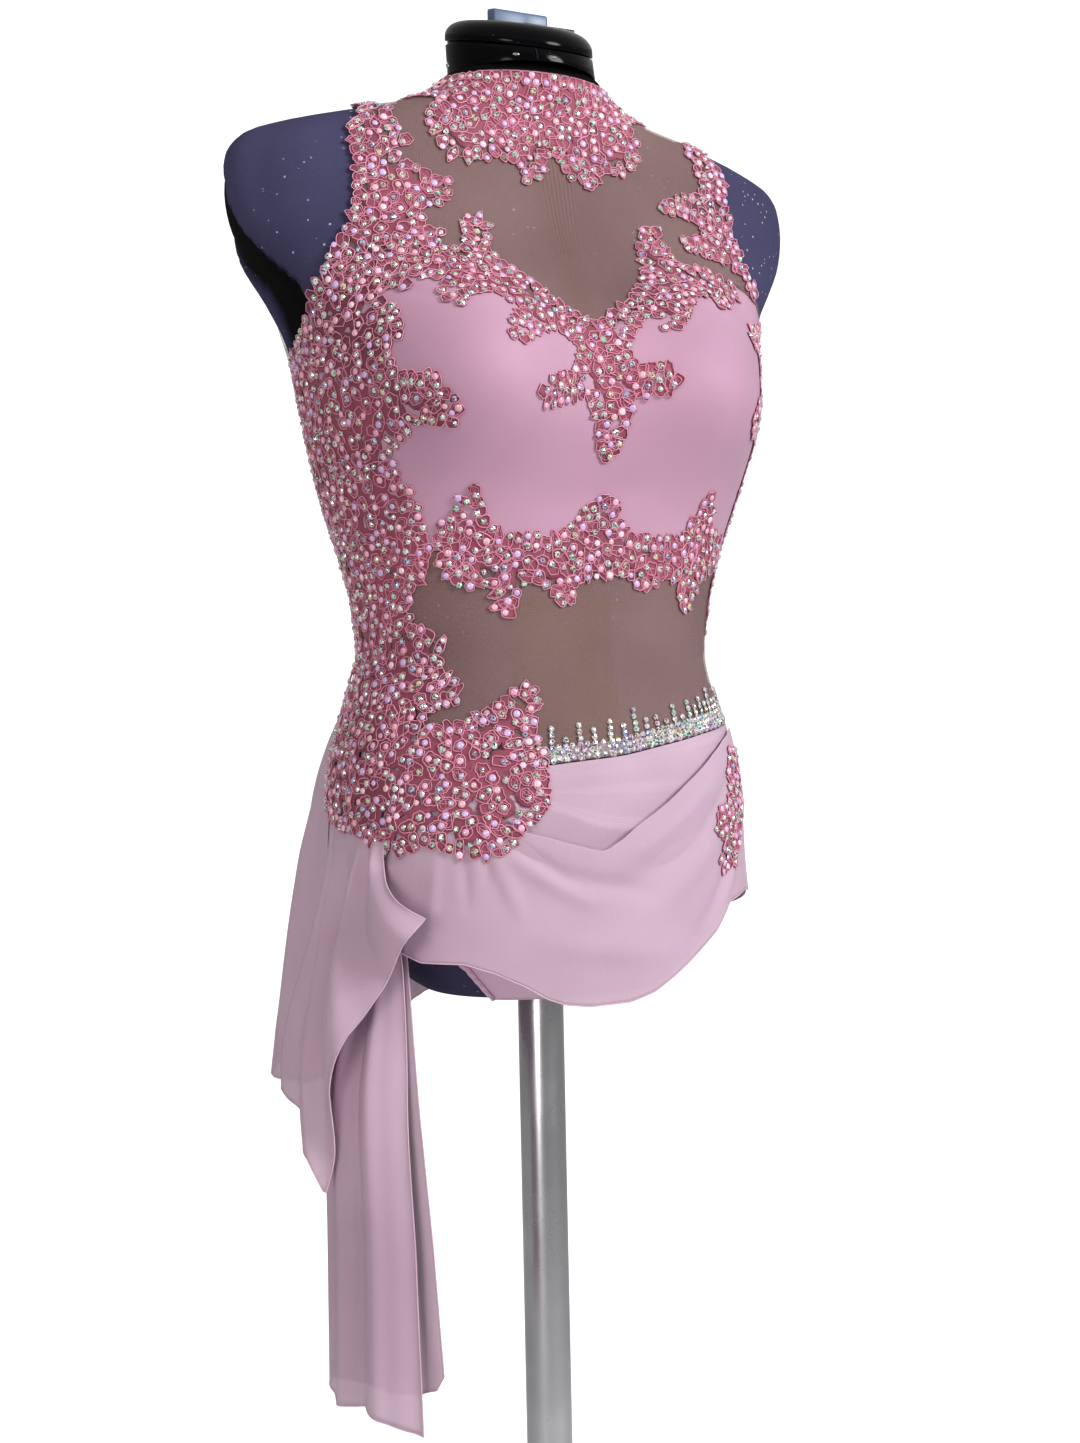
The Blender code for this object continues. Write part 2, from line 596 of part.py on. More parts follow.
COLLAR_LACE = [
    (-104, 0.6085), (-90, 0.6075), (-62, 0.6060), (-45, 0.6030), (-34, 0.5970), (-27, 0.5880),
    (-21, 0.5790), (-17, 0.5655), (-14, 0.5573), (-9, 0.5595), (-6, 0.5633), (-3, 0.5560),
    (-2.5, 0.5445), (-1, 0.5528), (0, 0.5708), (1, 0.5558), (4, 0.5460), (6, 0.5610), (10, 0.5610),
    (16, 0.5790), (25, 0.5970), (34, 0.6010), (45, 0.6035), (62, 0.6060), (90, 0.6075),
    (104, 0.6085), (106, 0.6240), (60, 0.6240), (0, 0.6240), (-60, 0.6240), (-106, 0.6240),
]
NECKLINE_LACE = [
    (-41, 0.4870), (-34, 0.4900), (-27, 0.4870), (-20, 0.4890), (-17.5, 0.5000), (-15, 0.5160),
    (-12, 0.5170), (-11, 0.5080), (-14, 0.4940), (-13, 0.4840), (-9, 0.4720), (-5, 0.4560),
    (0, 0.4430), (4, 0.4490), (8, 0.4620), (11, 0.4750), (12, 0.4900), (11, 0.5080),
    (13, 0.5220), (16, 0.5220), (17, 0.5060), (20, 0.4930), (30, 0.4920), (36, 0.4880),
    (41, 0.4820), (40, 0.4740), (36, 0.4700), (34, 0.4620), (30, 0.4610), (29, 0.4720),
    (23, 0.4680), (20, 0.4520), (17, 0.4380), (13, 0.4400), (12, 0.4520), (8, 0.4400),
    (6, 0.4240), (8, 0.4140), (15, 0.4120), (17, 0.4020), (12, 0.3940), (7, 0.3960),
    (6, 0.3800), (5, 0.3620), (2, 0.3530), (0, 0.3600), (0, 0.3780), (-3, 0.3940),
    (-9, 0.3880), (-15, 0.3840), (-17, 0.3920), (-12, 0.4020), (-5, 0.4100), (-3, 0.4240),
    (-8, 0.4360), (-14, 0.4300), (-20, 0.4200), (-23, 0.4240), (-20, 0.4360), (-15, 0.4460),
    (-20, 0.4560), (-27, 0.4520), (-31, 0.4440), (-34, 0.4500), (-30, 0.4640), (-36, 0.4700),
    (-41, 0.4720),
]
SHOULDER_LACE = [
    (43, 0.5850), (38, 0.5680), (36, 0.5480), (38, 0.5250), (45, 0.5020), (54, 0.4870),
    (52, 0.4830), (47, 0.4860), (44, 0.4950), (36, 0.5040), (30, 0.5050), (22, 0.5090),
    (21, 0.5140), (28, 0.5200), (28, 0.5300), (16, 0.5370), (16, 0.5450), (26, 0.5490),
    (29, 0.5600), (30, 0.5720), (35, 0.5850), (46, 0.5915), (58, 0.5955), (76, 0.5990),
    (84, 0.5992), (84, 0.5984), (72, 0.5974), (56, 0.5930),
]
SHOULDER_RIGHT_LACE = [
    (-84, 0.5992), (-76, 0.5990), (-58, 0.5955), (-46, 0.5918), (-38, 0.5895), (-30, 0.5800),
    (-23, 0.5685), (-26, 0.5655), (-28, 0.5595), (-25, 0.5575), (-23, 0.5500), (-19, 0.5440),
    (-15, 0.5390), (-17, 0.5300), (-20, 0.5210), (-26, 0.5200), (-24, 0.5140), (-25, 0.5050),
    (-21, 0.5000), (-24, 0.4935), (-28, 0.4905), (-34, 0.4930), (-43, 0.4895), (-43, 0.4700),
    (-38, 0.4620), (-42, 0.4570), (-47, 0.4600), (-53, 0.4735), (-56.5, 0.4800), (-54, 0.4848),
    (-45, 0.5020), (-38, 0.5250), (-36, 0.5480), (-38, 0.5680), (-43, 0.5850), (-56, 0.5930),
    (-72, 0.5974), (-84, 0.5984),
]
UNDERBUST_LACE = [
    (-44, 0.3120), (-38, 0.3160), (-36, 0.3300), (-31, 0.3360), (-29, 0.3240), (-26, 0.3060),
    (-18, 0.3020), (-10, 0.3030), (-4, 0.3120), (0, 0.3280), (5, 0.3320), (7, 0.3180),
    (10, 0.3060), (20, 0.3030), (30, 0.3060), (34, 0.3220), (37, 0.3380), (41, 0.3350),
    (42, 0.3180), (50, 0.3100), (61, 0.3080), (63, 0.2980), (61, 0.2880), (50, 0.2860),
    (44, 0.2760), (38, 0.2580), (34, 0.2560), (33, 0.2680), (28, 0.2800), (22, 0.2780),
    (18, 0.2680), (14, 0.2700), (13, 0.2800), (4, 0.2790), (-3, 0.2760), (-6, 0.2600),
    (-9, 0.2580), (-11, 0.2700), (-16, 0.2760), (-20, 0.2700), (-23, 0.2500), (-27, 0.2480),
    (-28, 0.2620), (-31, 0.2760), (-37, 0.2700), (-42, 0.2760), (-44, 0.2840),
]
SIDE_LACE = [
    (-56, 0.4720), (-50, 0.4580), (-46, 0.4400), (-48, 0.4280), (-55, 0.4180), (-52, 0.4040),
    (-42, 0.3990), (-37, 0.3780), (-39, 0.3700), (-48, 0.3750), (-57, 0.3600), (-56, 0.3420),
    (-50, 0.3320), (-48, 0.3140), (-47, 0.2940), (-52, 0.2780), (-60, 0.2640), (-60, 0.2490),
    (-50, 0.2420), (-46, 0.2330), (-48, 0.2190), (-40, 0.2030), (-40, 0.1960), (-50, 0.1950),
    (-53, 0.1830), (-48, 0.1790), (-38, 0.1830), (-30, 0.1920), (-22, 0.2040), (-18, 0.2050),
    (-16, 0.1900), (-17.5, 0.1740), (-15, 0.1660), (-14.5, 0.1450), (-15.5, 0.1240),
    (-23, 0.1140), (-25, 0.1040), (-35, 0.0960), (-40, 0.1030), (-50, 0.1070), (-58, 0.0990),
    (-67, 0.1020), (-74, 0.1130), (-86, 0.1160), (-96, 0.1240), (-103, 0.1500),
    (-106, 0.1900), (-107, 0.2400), (-107, 0.3000), (-109, 0.3500), (-105, 0.4000),
    (-97, 0.4300), (-88, 0.4345), (-78, 0.4480), (-66, 0.4680), (-58, 0.4760),
]
LEFT_SIDE_LACE = [
    (64, 0.4660), (57, 0.4560), (47, 0.4520), (46, 0.4420), (58, 0.4360), (64, 0.4200),
    (60, 0.4040), (50, 0.4000), (46, 0.3860), (50, 0.3780), (61, 0.3780), (68, 0.3600),
    (63, 0.3420), (66, 0.3240), (69, 0.3000), (67, 0.2700), (74, 0.2480), (80, 0.2260),
    (92, 0.2240), (100, 0.2450), (104, 0.3000), (102, 0.3600), (98, 0.4200), (88, 0.4345),
    (78, 0.4480),
]
LEFT_HIP_LACE = [
    (46, 0.1580), (56, 0.1600), (58, 0.1400), (52, 0.1180), (48, 0.1000), (42, 0.0820),
    (36, 0.0780), (34, 0.0900), (37, 0.1000), (32, 0.1080), (35, 0.1200), (42, 0.1260),
    (44, 0.1420),
]
TRIM_LOW = 0.0006
TRIM_HIGH = 0.0110
TRIM_FROM, TRIM_TO = -11.5, 87.0
SPIKES = 14


def over_skirt(angle, height):
    """How far lace lies off the body: close above the skirt's seam, over the skirt below it."""
    wrapped = np.where(angle > 180, angle - 360, angle)
    below = smooth((table(SKIRT_SEAM, wrapped) + 0.030 - height) / 0.016)
    skirt = drape_out(angle, height) + DRAPE[1] - DRAPE[0] + LACE_LIFT
    skirt = np.where(angle < -34, DRAPE[1] + LACE_LIFT + 0.0008, skirt)
    over_back = back_out(angle + 360, height) + DRAPE[1] - DRAPE[0] + LACE_LIFT + 0.0006
    skirt = np.where(angle < -97, np.maximum(skirt, over_back), skirt)
    return LACE[0] * (1 - below) + skirt * below


def raised(angle, height):
    """Uneven thickness of the corded flowers."""
    return RAISE * np.abs(np.sin(np.radians(angle * 17)) * np.sin(height * 260))


def build_lace(lace_grids, low_lace_grids):
    region_piece("lace_collar", petals(COLLAR_LACE, 3), lace_grids, CORDED_LACE)
    region_piece("lace_neckline", petals(NECKLINE_LACE, 5, depth=0.0022), lace_grids, CORDED_LACE)
    right = petals(SHOULDER_RIGHT_LACE, 7, depth=0.0020)
    region_piece("lace_shoulder_right", right, lace_grids, CORDED_LACE)
    region_piece("lace_shoulder_left", petals(SHOULDER_LACE, 8, depth=0.0020), lace_grids, CORDED_LACE)
    region_piece("lace_underbust", petals(UNDERBUST_LACE, 9, depth=0.0022), lace_grids, CORDED_LACE)
    region_piece("lace_side_right", petals(SIDE_LACE, 11), low_lace_grids, CORDED_LACE)
    region_piece("lace_side_left", petals(LEFT_SIDE_LACE, 13), lace_grids, CORDED_LACE)
    region_piece("lace_hip_left", petals(LEFT_HIP_LACE, 15), low_lace_grids, CORDED_LACE)
    spread = (TRIM_TO - TRIM_FROM) / SPIKES
    along = [TRIM_FROM] + list(np.arange(0.0, 85.0, 12.0)) + [TRIM_TO]
    low = [(a, table(SKIRT_SEAM, a) + TRIM_LOW) for a in along]
    high = []
    for k in range(SPIKES):
        a = TRIM_FROM + spread * (k + 0.5)
        tall = 0.010 + 0.006 * (0.5 + 0.5 * math.sin(k * 2.2))
        seam = table(SKIRT_SEAM, a) + TRIM_HIGH
        high += [(a - 1.6, seam), (a - 0.7, seam + tall), (a + 0.7, seam + tall), (a + 1.6, seam)]
    region_piece("waist_trim", low + high[::-1], lace_grids, CRYSTALS)


def build_skirt(drape_grids, back_grids):
    """The front drape with its cowl folds and the fluted back skirt."""
    top = [(a, table(SKIRT_SEAM, a) - 0.0004) for a in (57.6, 48, 36, 24, 12, 0, -12, -24, -36, -48)]
    outline = [(a, h) for a, h in DRAPE_HEM[:-1]] + [(57.6, 0.0622)] + top
    outline += [(-53, 0.150), (-53.5, 0.095), (-55, 0.060)]
    region_piece("skirt_front_drape", outline, drape_grids, CHIFFON)
    hem = [(58.4, 0.0628)] + BACK_HEM[1:] + [(262, -0.050), (264, -0.020), (263, 0.050)]
    around = [263] + list(np.arange(252.0, 59.0, -12.0)) + [58.4]
    top = [(a, table(SKIRT_SEAM, a if a <= 180 else a - 360) - 0.0004) for a in around]
    region_piece("skirt_back", hem + top, back_grids, CHIFFON)


# the flap's top and hem: share across, angle, height
FLAP_TOP = np.array([
    (0.00, -54.6, 0.122), (0.25, -64.0, 0.126), (0.50, -75.0, 0.132), (0.75, -85.0, 0.138),
    (1.00, -95.0, 0.142),
])
FLAP_HEM = np.array([
    (0.00, -45.0, 0.062), (0.12, -50.0, 0.045), (0.25, -56.0, 0.020), (0.40, -64.0, -0.012),
    (0.52, -70.0, -0.050), (0.60, -72.0, -0.092), (0.66, -74.0, -0.118), (0.72, -78.0, -0.096),
    (0.84, -86.0, -0.078), (1.00, -100.0, -0.062),
])
# the tail's leaves: height, angle of the front leaf's free edge, of the fold, of the rear leaf's edge
TAIL_LEAVES = np.array([
    (0.055, -57.5, -78.0, -56.5), (0.024, -56.0, -80.0, -55.0), (-0.046, -54.0, -86.0, -52.0),
    (-0.149, -51.5, -86.0, -48.0), (-0.270, -50.5, -87.0, -44.5),
])
# the tail's hem: share along the folded cloth, height
TAIL_HEM = np.array([
    (0.00, -0.268), (0.10, -0.262), (0.22, -0.254), (0.40, -0.256), (0.50, -0.248), (0.62, -0.246),
    (0.90, -0.245), (0.97, -0.241), (1.00, -0.232),
])


def column(rows, k, value):
    order = np.argsort(rows[:, 0])
    return np.interp(value, rows[order, 0], rows[order, k])


def sheet_wall(name, place, across, down, thick, look):
    """A wall from a function of two shares, thickened to both sides of its middle."""
    u, v = np.meshgrid(across, down)
    middle = place(u, v)
    along = np.gradient(middle, axis=1)
    fall = np.gradient(middle, axis=0)
    facing = unit(np.cross(along, fall))
    inner = (middle - facing * thick / 2).reshape(-1, 3)
    outer = (middle + facing * thick / 2).reshape(-1, 3)
    wide = len(across)
    triangles = []
    for j in range(len(down) - 1):
        for i in range(wide - 1):
            a = j * wide + i
            triangles += [(a, a + wide, a + wide + 1), (a, a + wide + 1, a + 1)]
    triangles = [(a, c, b) for a, b, c in triangles]
    return closed_wall(name, inner, outer, triangles, look)


def flap_place(u, v):
    top_a, top_h = column(FLAP_TOP, 1, u), column(FLAP_TOP, 2, u)
    hem_a, hem_h = column(FLAP_HEM, 1, u), column(FLAP_HEM, 2, u)
    height = top_h + (hem_h - top_h) * v
    share = np.clip((FLAP_RELEASE - height) / (FLAP_RELEASE - hem_h), 0, 1)
    angle = top_a + (hem_a - top_a) * share ** 1.6
    return lifted(angle, height, flap_out(u, height, hem_h) + 0.0006)


def tail_place(u, v):
    """The folded tail: u runs from the front leaf's free edge round the fold to the rear leaf."""
    hem = column(TAIL_HEM, 1, u)
    height = TAIL_LEAVES[0, 0] + (hem - TAIL_LEAVES[0, 0]) * v
    free = column(TAIL_LEAVES, 1, height)
    fold = column(TAIL_LEAVES, 2, height)
    rear = column(TAIL_LEAVES, 3, height)
    to_fold, to_rear = np.clip(u / 0.5, 0, 1), np.clip((u - 0.5) / 0.5, 0, 1)
    angle = np.where(u < 0.5, free + (fold - free) * to_fold, fold + (rear - fold) * to_rear)
    opening = smooth(v * 2.2)
    front = 0.0080 + 0.0140 * opening + 0.0030 * opening * np.sin(2 * np.pi * (u * 2.6 + 0.1))
    back = 0.0042 + 0.0040 * opening
    turn = smooth((u - 0.42) / 0.16)
    return lifted(angle, height, front * (1 - turn) + back * turn)


def build_cascade():
    sheet_wall(
        "cascade_flap", flap_place, np.linspace(0, 1, 18), np.linspace(0, 1, 10), 0.0012, CHIFFON
    )
    across = np.array([
        0, 0.08, 0.16, 0.24, 0.32, 0.39, 0.44, 0.475, 0.50, 0.525, 0.56, 0.64, 0.76, 0.88, 1.0,
    ])
    sheet_wall("cascade_tail", tail_place, across, np.linspace(0, 1, 12), 0.0012, CHIFFON)


def main():
    body_grids = [Grid(BODY_ROWS, lambda a, h, o=o: on_body(a, h, np.full(a.shape, o))) for o in CLOTH]
    lace_inner = Grid(BODY_ROWS, lambda a, h: on_body(a, h, np.full(a.shape, LACE[0])))
    lace_outer = Grid(BODY_ROWS, lambda a, h: on_body(a, h, LACE[1] + raised(a, h)))
    low_inner = Grid(DRAPE_ROWS, lambda a, h: lifted(a, h, over_skirt(a, h)))
    low_outer = Grid(
        DRAPE_ROWS, lambda a, h: lifted(a, h, over_skirt(a, h) + LACE_WALL + raised(a, h))
    )
    thick = DRAPE[1] - DRAPE[0]
    drape = [Grid(DRAPE_ROWS, lambda a, h, o=o: lifted(a, h, drape_out(a, h) + o)) for o in (0, thick)]
    back = [Grid(BACK_ROWS, lambda a, h, o=o: lifted(a, h, back_out(a, h) + o)) for o in (0, thick)]
    build_form()
    build_bodice(body_grids)
    build_brief_trim([Grid(BODY_ROWS, lambda a, h, o=o: on_body(a, h, np.full(a.shape, o))) for o in BAND])
    build_lace((lace_inner, lace_outer), (low_inner, low_outer))
    build_skirt(drape, back)
    build_cascade()


main()
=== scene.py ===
"""Looks of a lyrical dance dress on a limbless dress form: cloth, corded lace, stones, light, camera.

Metres, +Z up, front towards -Y. Places on the body are an angle about the upright axis, 0 at the front
and positive to the wearer's left, and a height above the form's flat bottom.
"""

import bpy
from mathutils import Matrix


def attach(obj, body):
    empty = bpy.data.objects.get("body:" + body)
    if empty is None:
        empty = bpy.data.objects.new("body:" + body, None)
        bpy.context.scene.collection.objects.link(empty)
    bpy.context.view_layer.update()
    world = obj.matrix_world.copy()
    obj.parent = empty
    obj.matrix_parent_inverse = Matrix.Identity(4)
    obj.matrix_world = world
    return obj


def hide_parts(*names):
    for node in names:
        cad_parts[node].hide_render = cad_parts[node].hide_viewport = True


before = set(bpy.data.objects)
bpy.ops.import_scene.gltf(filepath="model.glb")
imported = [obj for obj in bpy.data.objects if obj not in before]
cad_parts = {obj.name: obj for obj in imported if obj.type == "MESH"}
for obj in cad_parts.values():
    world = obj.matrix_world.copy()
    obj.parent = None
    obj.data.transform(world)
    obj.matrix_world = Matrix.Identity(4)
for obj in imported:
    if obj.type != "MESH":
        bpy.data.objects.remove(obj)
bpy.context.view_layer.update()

import math
import random

import bpy
import numpy as np
from mathutils import Matrix, Vector
from mathutils.geometry import delaunay_2d_cdt

FORM_BOTTOM = 0.85
TORSO_TOP = 0.63
POLE_RADIUS = 0.016
BASE_RADIUS = 0.185
BASE_HEIGHT = 0.02
SOCKET_HEIGHT = 0.012  # of the base's socket that holds the pole
COLLAR_SEAM = 0.6045
COLLAR_TOP = 0.625
SIDE_SEAM = 88.0
SIDE_GAP, SHOULDER_GAP = 0.15, 0.3  # degrees that panels keep from the side and shoulder seams
SEAM_GAP = 0.0003
HANG_HEIGHT = 0.095
FLAP_RELEASE = 0.098
BACK_RELEASE = 0.125
UNDERBUST = 0.295
ARMPIT = 0.4322  # height of the side seam's top
METRES_PER_DEGREE = 0.0024

CLOTH_OUT = 0.0015
CLOTH_WALL = 0.0005
BAND_OUT = 0.0028
BAND_WIDTH = 0.006
STITCH_ROWS = (0.0042, 0.0052)  # across a leg binding
SKIRT_OUT = 0.0032
LACE_OUT = 0.0022
LACE_WALL = 0.0003
LACE_OVER_SKIRT = 0.0052
CORD_RADIUS = 0.00036
VEIN_RADIUS = 0.00028
HEM_RADIUS = 0.0005
STITCH_RADIUS = 0.00022
STONE_GAP = 0.0058
PETAL_GAP = 0.0076
BORDER_STEP = 0.0062
BORDER_CLEAR = 0.0052  # petals of the border stay this far apart
NET_REACH = 0.0078  # the largest patch of net under one petal
PETAL_TRIES, STONE_TRIES = 6000, 2200  # chance places looked at in each applique

# height above the form's bottom, half width, front depth, back depth, roundness, shift to the back
SECTIONS = np.array([
    (0.0, 0.081, 0.072, 0.074, 2.2, 0.0),
    (0.007, 0.092, 0.082, 0.086, 2.2, 0.0),
    (0.023, 0.109, 0.094, 0.1, 2.2, 0.0),
    (0.043, 0.125, 0.103, 0.111, 2.2, 0.0),
    (0.068, 0.14, 0.109, 0.118, 2.2, 0.0),
    (0.093, 0.146, 0.111, 0.118, 2.2, 0.0),
    (0.128, 0.145, 0.109, 0.112, 2.2, 0.0),
    (0.163, 0.14, 0.103, 0.1, 2.2, 0.0),
    (0.198, 0.13, 0.096, 0.088, 2.2, 0.0),
    (0.228, 0.124, 0.091, 0.082, 2.2, 0.0),
    (0.263, 0.127, 0.089, 0.082, 2.2, 0.0),
    (0.298, 0.136, 0.089, 0.085, 2.2, 0.0),
    (0.338, 0.148, 0.09, 0.092, 2.2, 0.0),
    (0.383, 0.158, 0.091, 0.098, 2.2, 0.0),
    (0.415, 0.164, 0.09, 0.1, 2.2, 0.001),
    (0.445, 0.171, 0.086, 0.1, 2.3, 0.004),
    (0.47, 0.182, 0.08, 0.099, 2.4, 0.008),
    (0.495, 0.195, 0.074, 0.097, 2.5, 0.012),
    (0.52, 0.203, 0.069, 0.093, 2.6, 0.014),
    (0.545, 0.206, 0.064, 0.087, 2.7, 0.015),
    (0.562, 0.204, 0.06, 0.08, 2.7, 0.015),
    (0.576, 0.195, 0.056, 0.073, 2.6, 0.014),
    (0.586, 0.174, 0.053, 0.068, 2.4, 0.012),
    (0.595, 0.14, 0.05, 0.064, 2.3, 0.009),
    (0.603, 0.104, 0.048, 0.061, 2.1, 0.006),
    (0.612, 0.078, 0.047, 0.059, 2.0, 0.003),
    (0.625, 0.061, 0.046, 0.057, 2.0, 0.001),
    (0.645, 0.053, 0.046, 0.055, 2.0, 0.0),
])
BUST_SIDE = 0.088
BUST_HEIGHT = 0.405
BUST_DEPTH = 0.052
BUST_WIDTH = 0.048
BUST_ABOVE = 0.052
BUST_BELOW = 0.044
ARM_BULGE = 0.007
NECK_RADIUS = 0.0523
NECK_LEAN = 0.31
NECK_SHIFT = 0.002
NECK_RING_TOP = 0.655
NECK_LID_TOP = 0.6717


def slopes(x, y):
    """Slopes of a curve through the points that never overshoots them."""
    step = np.diff(x)
    rise = np.diff(y) / step
    found = np.zeros_like(y)
    for i in range(1, len(x) - 1):
        if rise[i - 1] * rise[i] > 0:
            before = 2 * step[i] + step[i - 1]
            after = step[i] + 2 * step[i - 1]
            found[i] = (before + after) / (before / rise[i - 1] + after / rise[i])
    found[0], found[-1] = rise[0], rise[-1]
    return found


SLOPES = [slopes(SECTIONS[:, 0], SECTIONS[:, k]) for k in range(1, 6)]


def section(height, k):
    """Column k of the torso's sections at a height, on the smooth curve through them."""
    x, y, m = SECTIONS[:, 0], SECTIONS[:, k], SLOPES[k - 1]
    i = np.clip(np.searchsorted(x, height) - 1, 0, len(x) - 2)
    width = x[i + 1] - x[i]
    s = (height - x[i]) / width
    near = (1 + 2 * s) * (1 - s) ** 2 * y[i] + s * (1 - s) ** 2 * width * m[i]
    return near + s * s * (3 - 2 * s) * y[i + 1] + s * s * (s - 1) * width * m[i + 1]


def smooth(value):
    value = np.clip(value, 0.0, 1.0)
    return value * value * (3 - 2 * value)


def body(angle, height):
    """Points of the torso's surface, with z measured from the form's bottom."""
    turn = np.radians(angle)
    height = np.clip(height, SECTIONS[0, 0], SECTIONS[-1, 0])
    half, front, back, roundness, shift = (section(height, k) for k in range(1, 6))
    sine, cosine = np.sin(turn), np.cos(turn)
    to_side = np.degrees(np.arcsin(np.clip(np.abs(sine), 0, 1)))
    plate = smooth((height - 0.47) / 0.06) * smooth((0.594 - height) / 0.022)
    plate = plate * smooth((to_side - 66) / 16)
    x = (half * np.abs(sine) ** (2 / roundness) + ARM_BULGE * plate) * np.sign(sine)
    lean = np.abs(cosine) ** (2 / roundness)
    y = -np.where(cosine > 0, front, back) * np.sign(cosine) * lean + shift
    spread = np.where(height > BUST_HEIGHT, BUST_ABOVE, BUST_BELOW)
    fall = np.exp(-((height - BUST_HEIGHT) ** 2) / (2 * spread**2))
    cups = np.exp(-((x - BUST_SIDE) ** 2) / (2 * BUST_WIDTH**2))
    cups = cups + np.exp(-((x + BUST_SIDE) ** 2) / (2 * BUST_WIDTH**2))
    facing = smooth(lean * (cosine > 0) / 0.5)
    return np.stack([x, y - BUST_DEPTH * fall * cups * facing, height + 0 * x], -1)


def unit(vectors):
    return vectors / np.maximum(np.linalg.norm(vectors, axis=-1, keepdims=True), 1e-12)


def normals(angle, height):
    across = body(angle + 0.2, height) - body(angle - 0.2, height)
    along = body(angle, height + 0.001) - body(angle, height - 0.001)
    return unit(np.cross(across, along))


def lifted(angle, height, out):
    """The body surface moved out, and below the hips the cloth hangs straight down."""
    angle, height, out = (np.asarray(v, float) for v in np.broadcast_arrays(angle, height, out))
    held = np.maximum(height, HANG_HEIGHT)
    outward = normals(angle, held)
    level = outward.copy()
    level[..., 2] = 0
    share = np.clip((HANG_HEIGHT + 0.05 - height) / 0.05, 0, 1)[..., None]
    points = body(angle, held) + unit(outward * (1 - share) + unit(level) * share) * out[..., None]
    points[..., 2] = np.where(height < HANG_HEIGHT, height, points[..., 2]) + FORM_BOTTOM
    return points


def on_body(angle, height, out):
    angle, height, out = (np.asarray(v, float) for v in np.broadcast_arrays(angle, height, out))
    points = body(angle, height) + normals(angle, height) * out[..., None]
    points[..., 2] += FORM_BOTTOM
    return points


def table(rows, angle):
    """A height or an amount read from rows of (angle, value)."""
    return np.interp(angle, [r[0] for r in rows], [r[1] for r in rows])


def creased(angle, height, creases):
    """Soft ridges and troughs along short lines: angle and height of both ends, width, depth."""
    found = 0.0 * (angle + height)
    for a0, h0, a1, h1, wide, deep in creases:
        run_a, run_h = (a1 - a0) * METRES_PER_DEGREE, h1 - h0
        from_a, from_h = (angle - a0) * METRES_PER_DEGREE, height - h0
        along = (from_a * run_a + from_h * run_h) / (run_a**2 + run_h**2)
        held = np.clip(along, 0, 1)
        away = np.hypot(from_a - held * run_a, from_h - held * run_h)
        found = found + deep * np.exp(-((away / wide) ** 2)) * (0.45 + 0.55 * np.sin(np.pi * held))
    return found


# angle, height of the seam above the skirt
SKIRT_SEAM = [
    (-180, 0.202), (-120, 0.212), (-103, 0.21), (-90, 0.203), (-60, 0.18), (-30, 0.158), (-15, 0.154),
    (4, 0.159), (17, 0.165), (36, 0.172), (60, 0.178), (90, 0.186), (180, 0.202),
]
# angle, height of the sweetheart neckline on each side of the centre front
SWEETHEART = [
    (0, 0.433), (5, 0.445), (10, 0.457), (15, 0.472), (20, 0.482), (30, 0.487), (40, 0.487), (55, 0.478),
    (66, 0.466),
]
# angle, height of the armhole from the shoulder to the side seam, front then back
ARMHOLE_FRONT = [
    (90, 0.5985), (72, 0.5972), (55, 0.592), (42, 0.584), (37, 0.568), (35, 0.548), (37, 0.525),
    (44, 0.502), (54, 0.484), (66, 0.466), (78, 0.446), (88, 0.432),
]
ARMHOLE_BACK = [
    (90, 0.5985), (108, 0.5972), (125, 0.592), (138, 0.584), (143, 0.568), (144, 0.548), (141, 0.525),
    (134, 0.5), (124, 0.478), (112, 0.456), (100, 0.44), (92, 0.432),
]
# height, angle where the form's arm plate begins behind the gap, which is painted black as painted shade
ARM_GAP = [
    (0.43, 78), (0.4447, 76), (0.459, 73), (0.4725, 72), (0.4815, 75), (0.4927, 79), (0.5018, 82),
    (0.515, 85), (0.53, 88), (0.57, 92),
]
# angle, height of the leg opening, front then back
LEG_FRONT = [(45, 0.0), (46, 0.01), (48, 0.022), (54, 0.038), (62, 0.055), (72, 0.072), (88, 0.088)]
LEG_BACK = [(148, 0.0), (145, 0.012), (135, 0.035), (120, 0.06), (105, 0.08), (92, 0.088)]
# the front drape's cowl: angle, height of its lip and of the hidden fold under it, share of its opening
COWL_LIP = [
    (-56, 0.12), (-40, 0.121), (-28, 0.117), (-15, 0.108), (-6, 0.1005), (-3, 0.099), (0, 0.105),
    (4, 0.114), (20, 0.138), (35, 0.157), (44, 0.166), (57.6, 0.1745),
]
COWL_FOLD = [
    (-56, 0.05), (-44, 0.051), (-33, 0.061), (-24, 0.066), (-10, 0.046), (0, 0.034), (10, 0.034),
    (22, 0.05), (33, 0.08), (41, 0.104), (57.6, 0.15),
]
COWL_OPEN = [
    (-56, 0.02), (-40, 0.12), (-28, 0.3), (-15, 0.72), (-6, 1.0), (2, 0.95), (12, 0.7), (22, 0.5),
    (35, 0.3), (44, 0.15), (57.6, 0.05),
]
# angle, height of the drape's hem
DRAPE_HEM = [
    (-56, 0.038), (-48, 0.031), (-36, 0.03), (-28, 0.0235), (-20, 0.014), (-15, 0.006), (-11, 0.002),
    (-5, 0.0), (3, 0.001), (9, 0.006), (20, 0.022), (32, 0.04), (39, 0.058), (52, 0.064), (57.6, 0.0622),
]
# height, how many degrees the drape runs on beneath the cascade's flap
DRAPE_UNDER = [(0.048, 0.0), (0.062, 4.0), (0.08, 8.5), (0.13, 10.0)]
# height, angle of the drape's free edge
DRAPE_EDGE = [(-0.02, -56.5), (0.038, -56.0), (0.06, -55.0), (0.095, -53.5), (0.15, -53.0), (0.2, -52.0)]
# angles between which the drape's seam runs
DRAPE_START, DRAPE_END = -54.0, 57.6
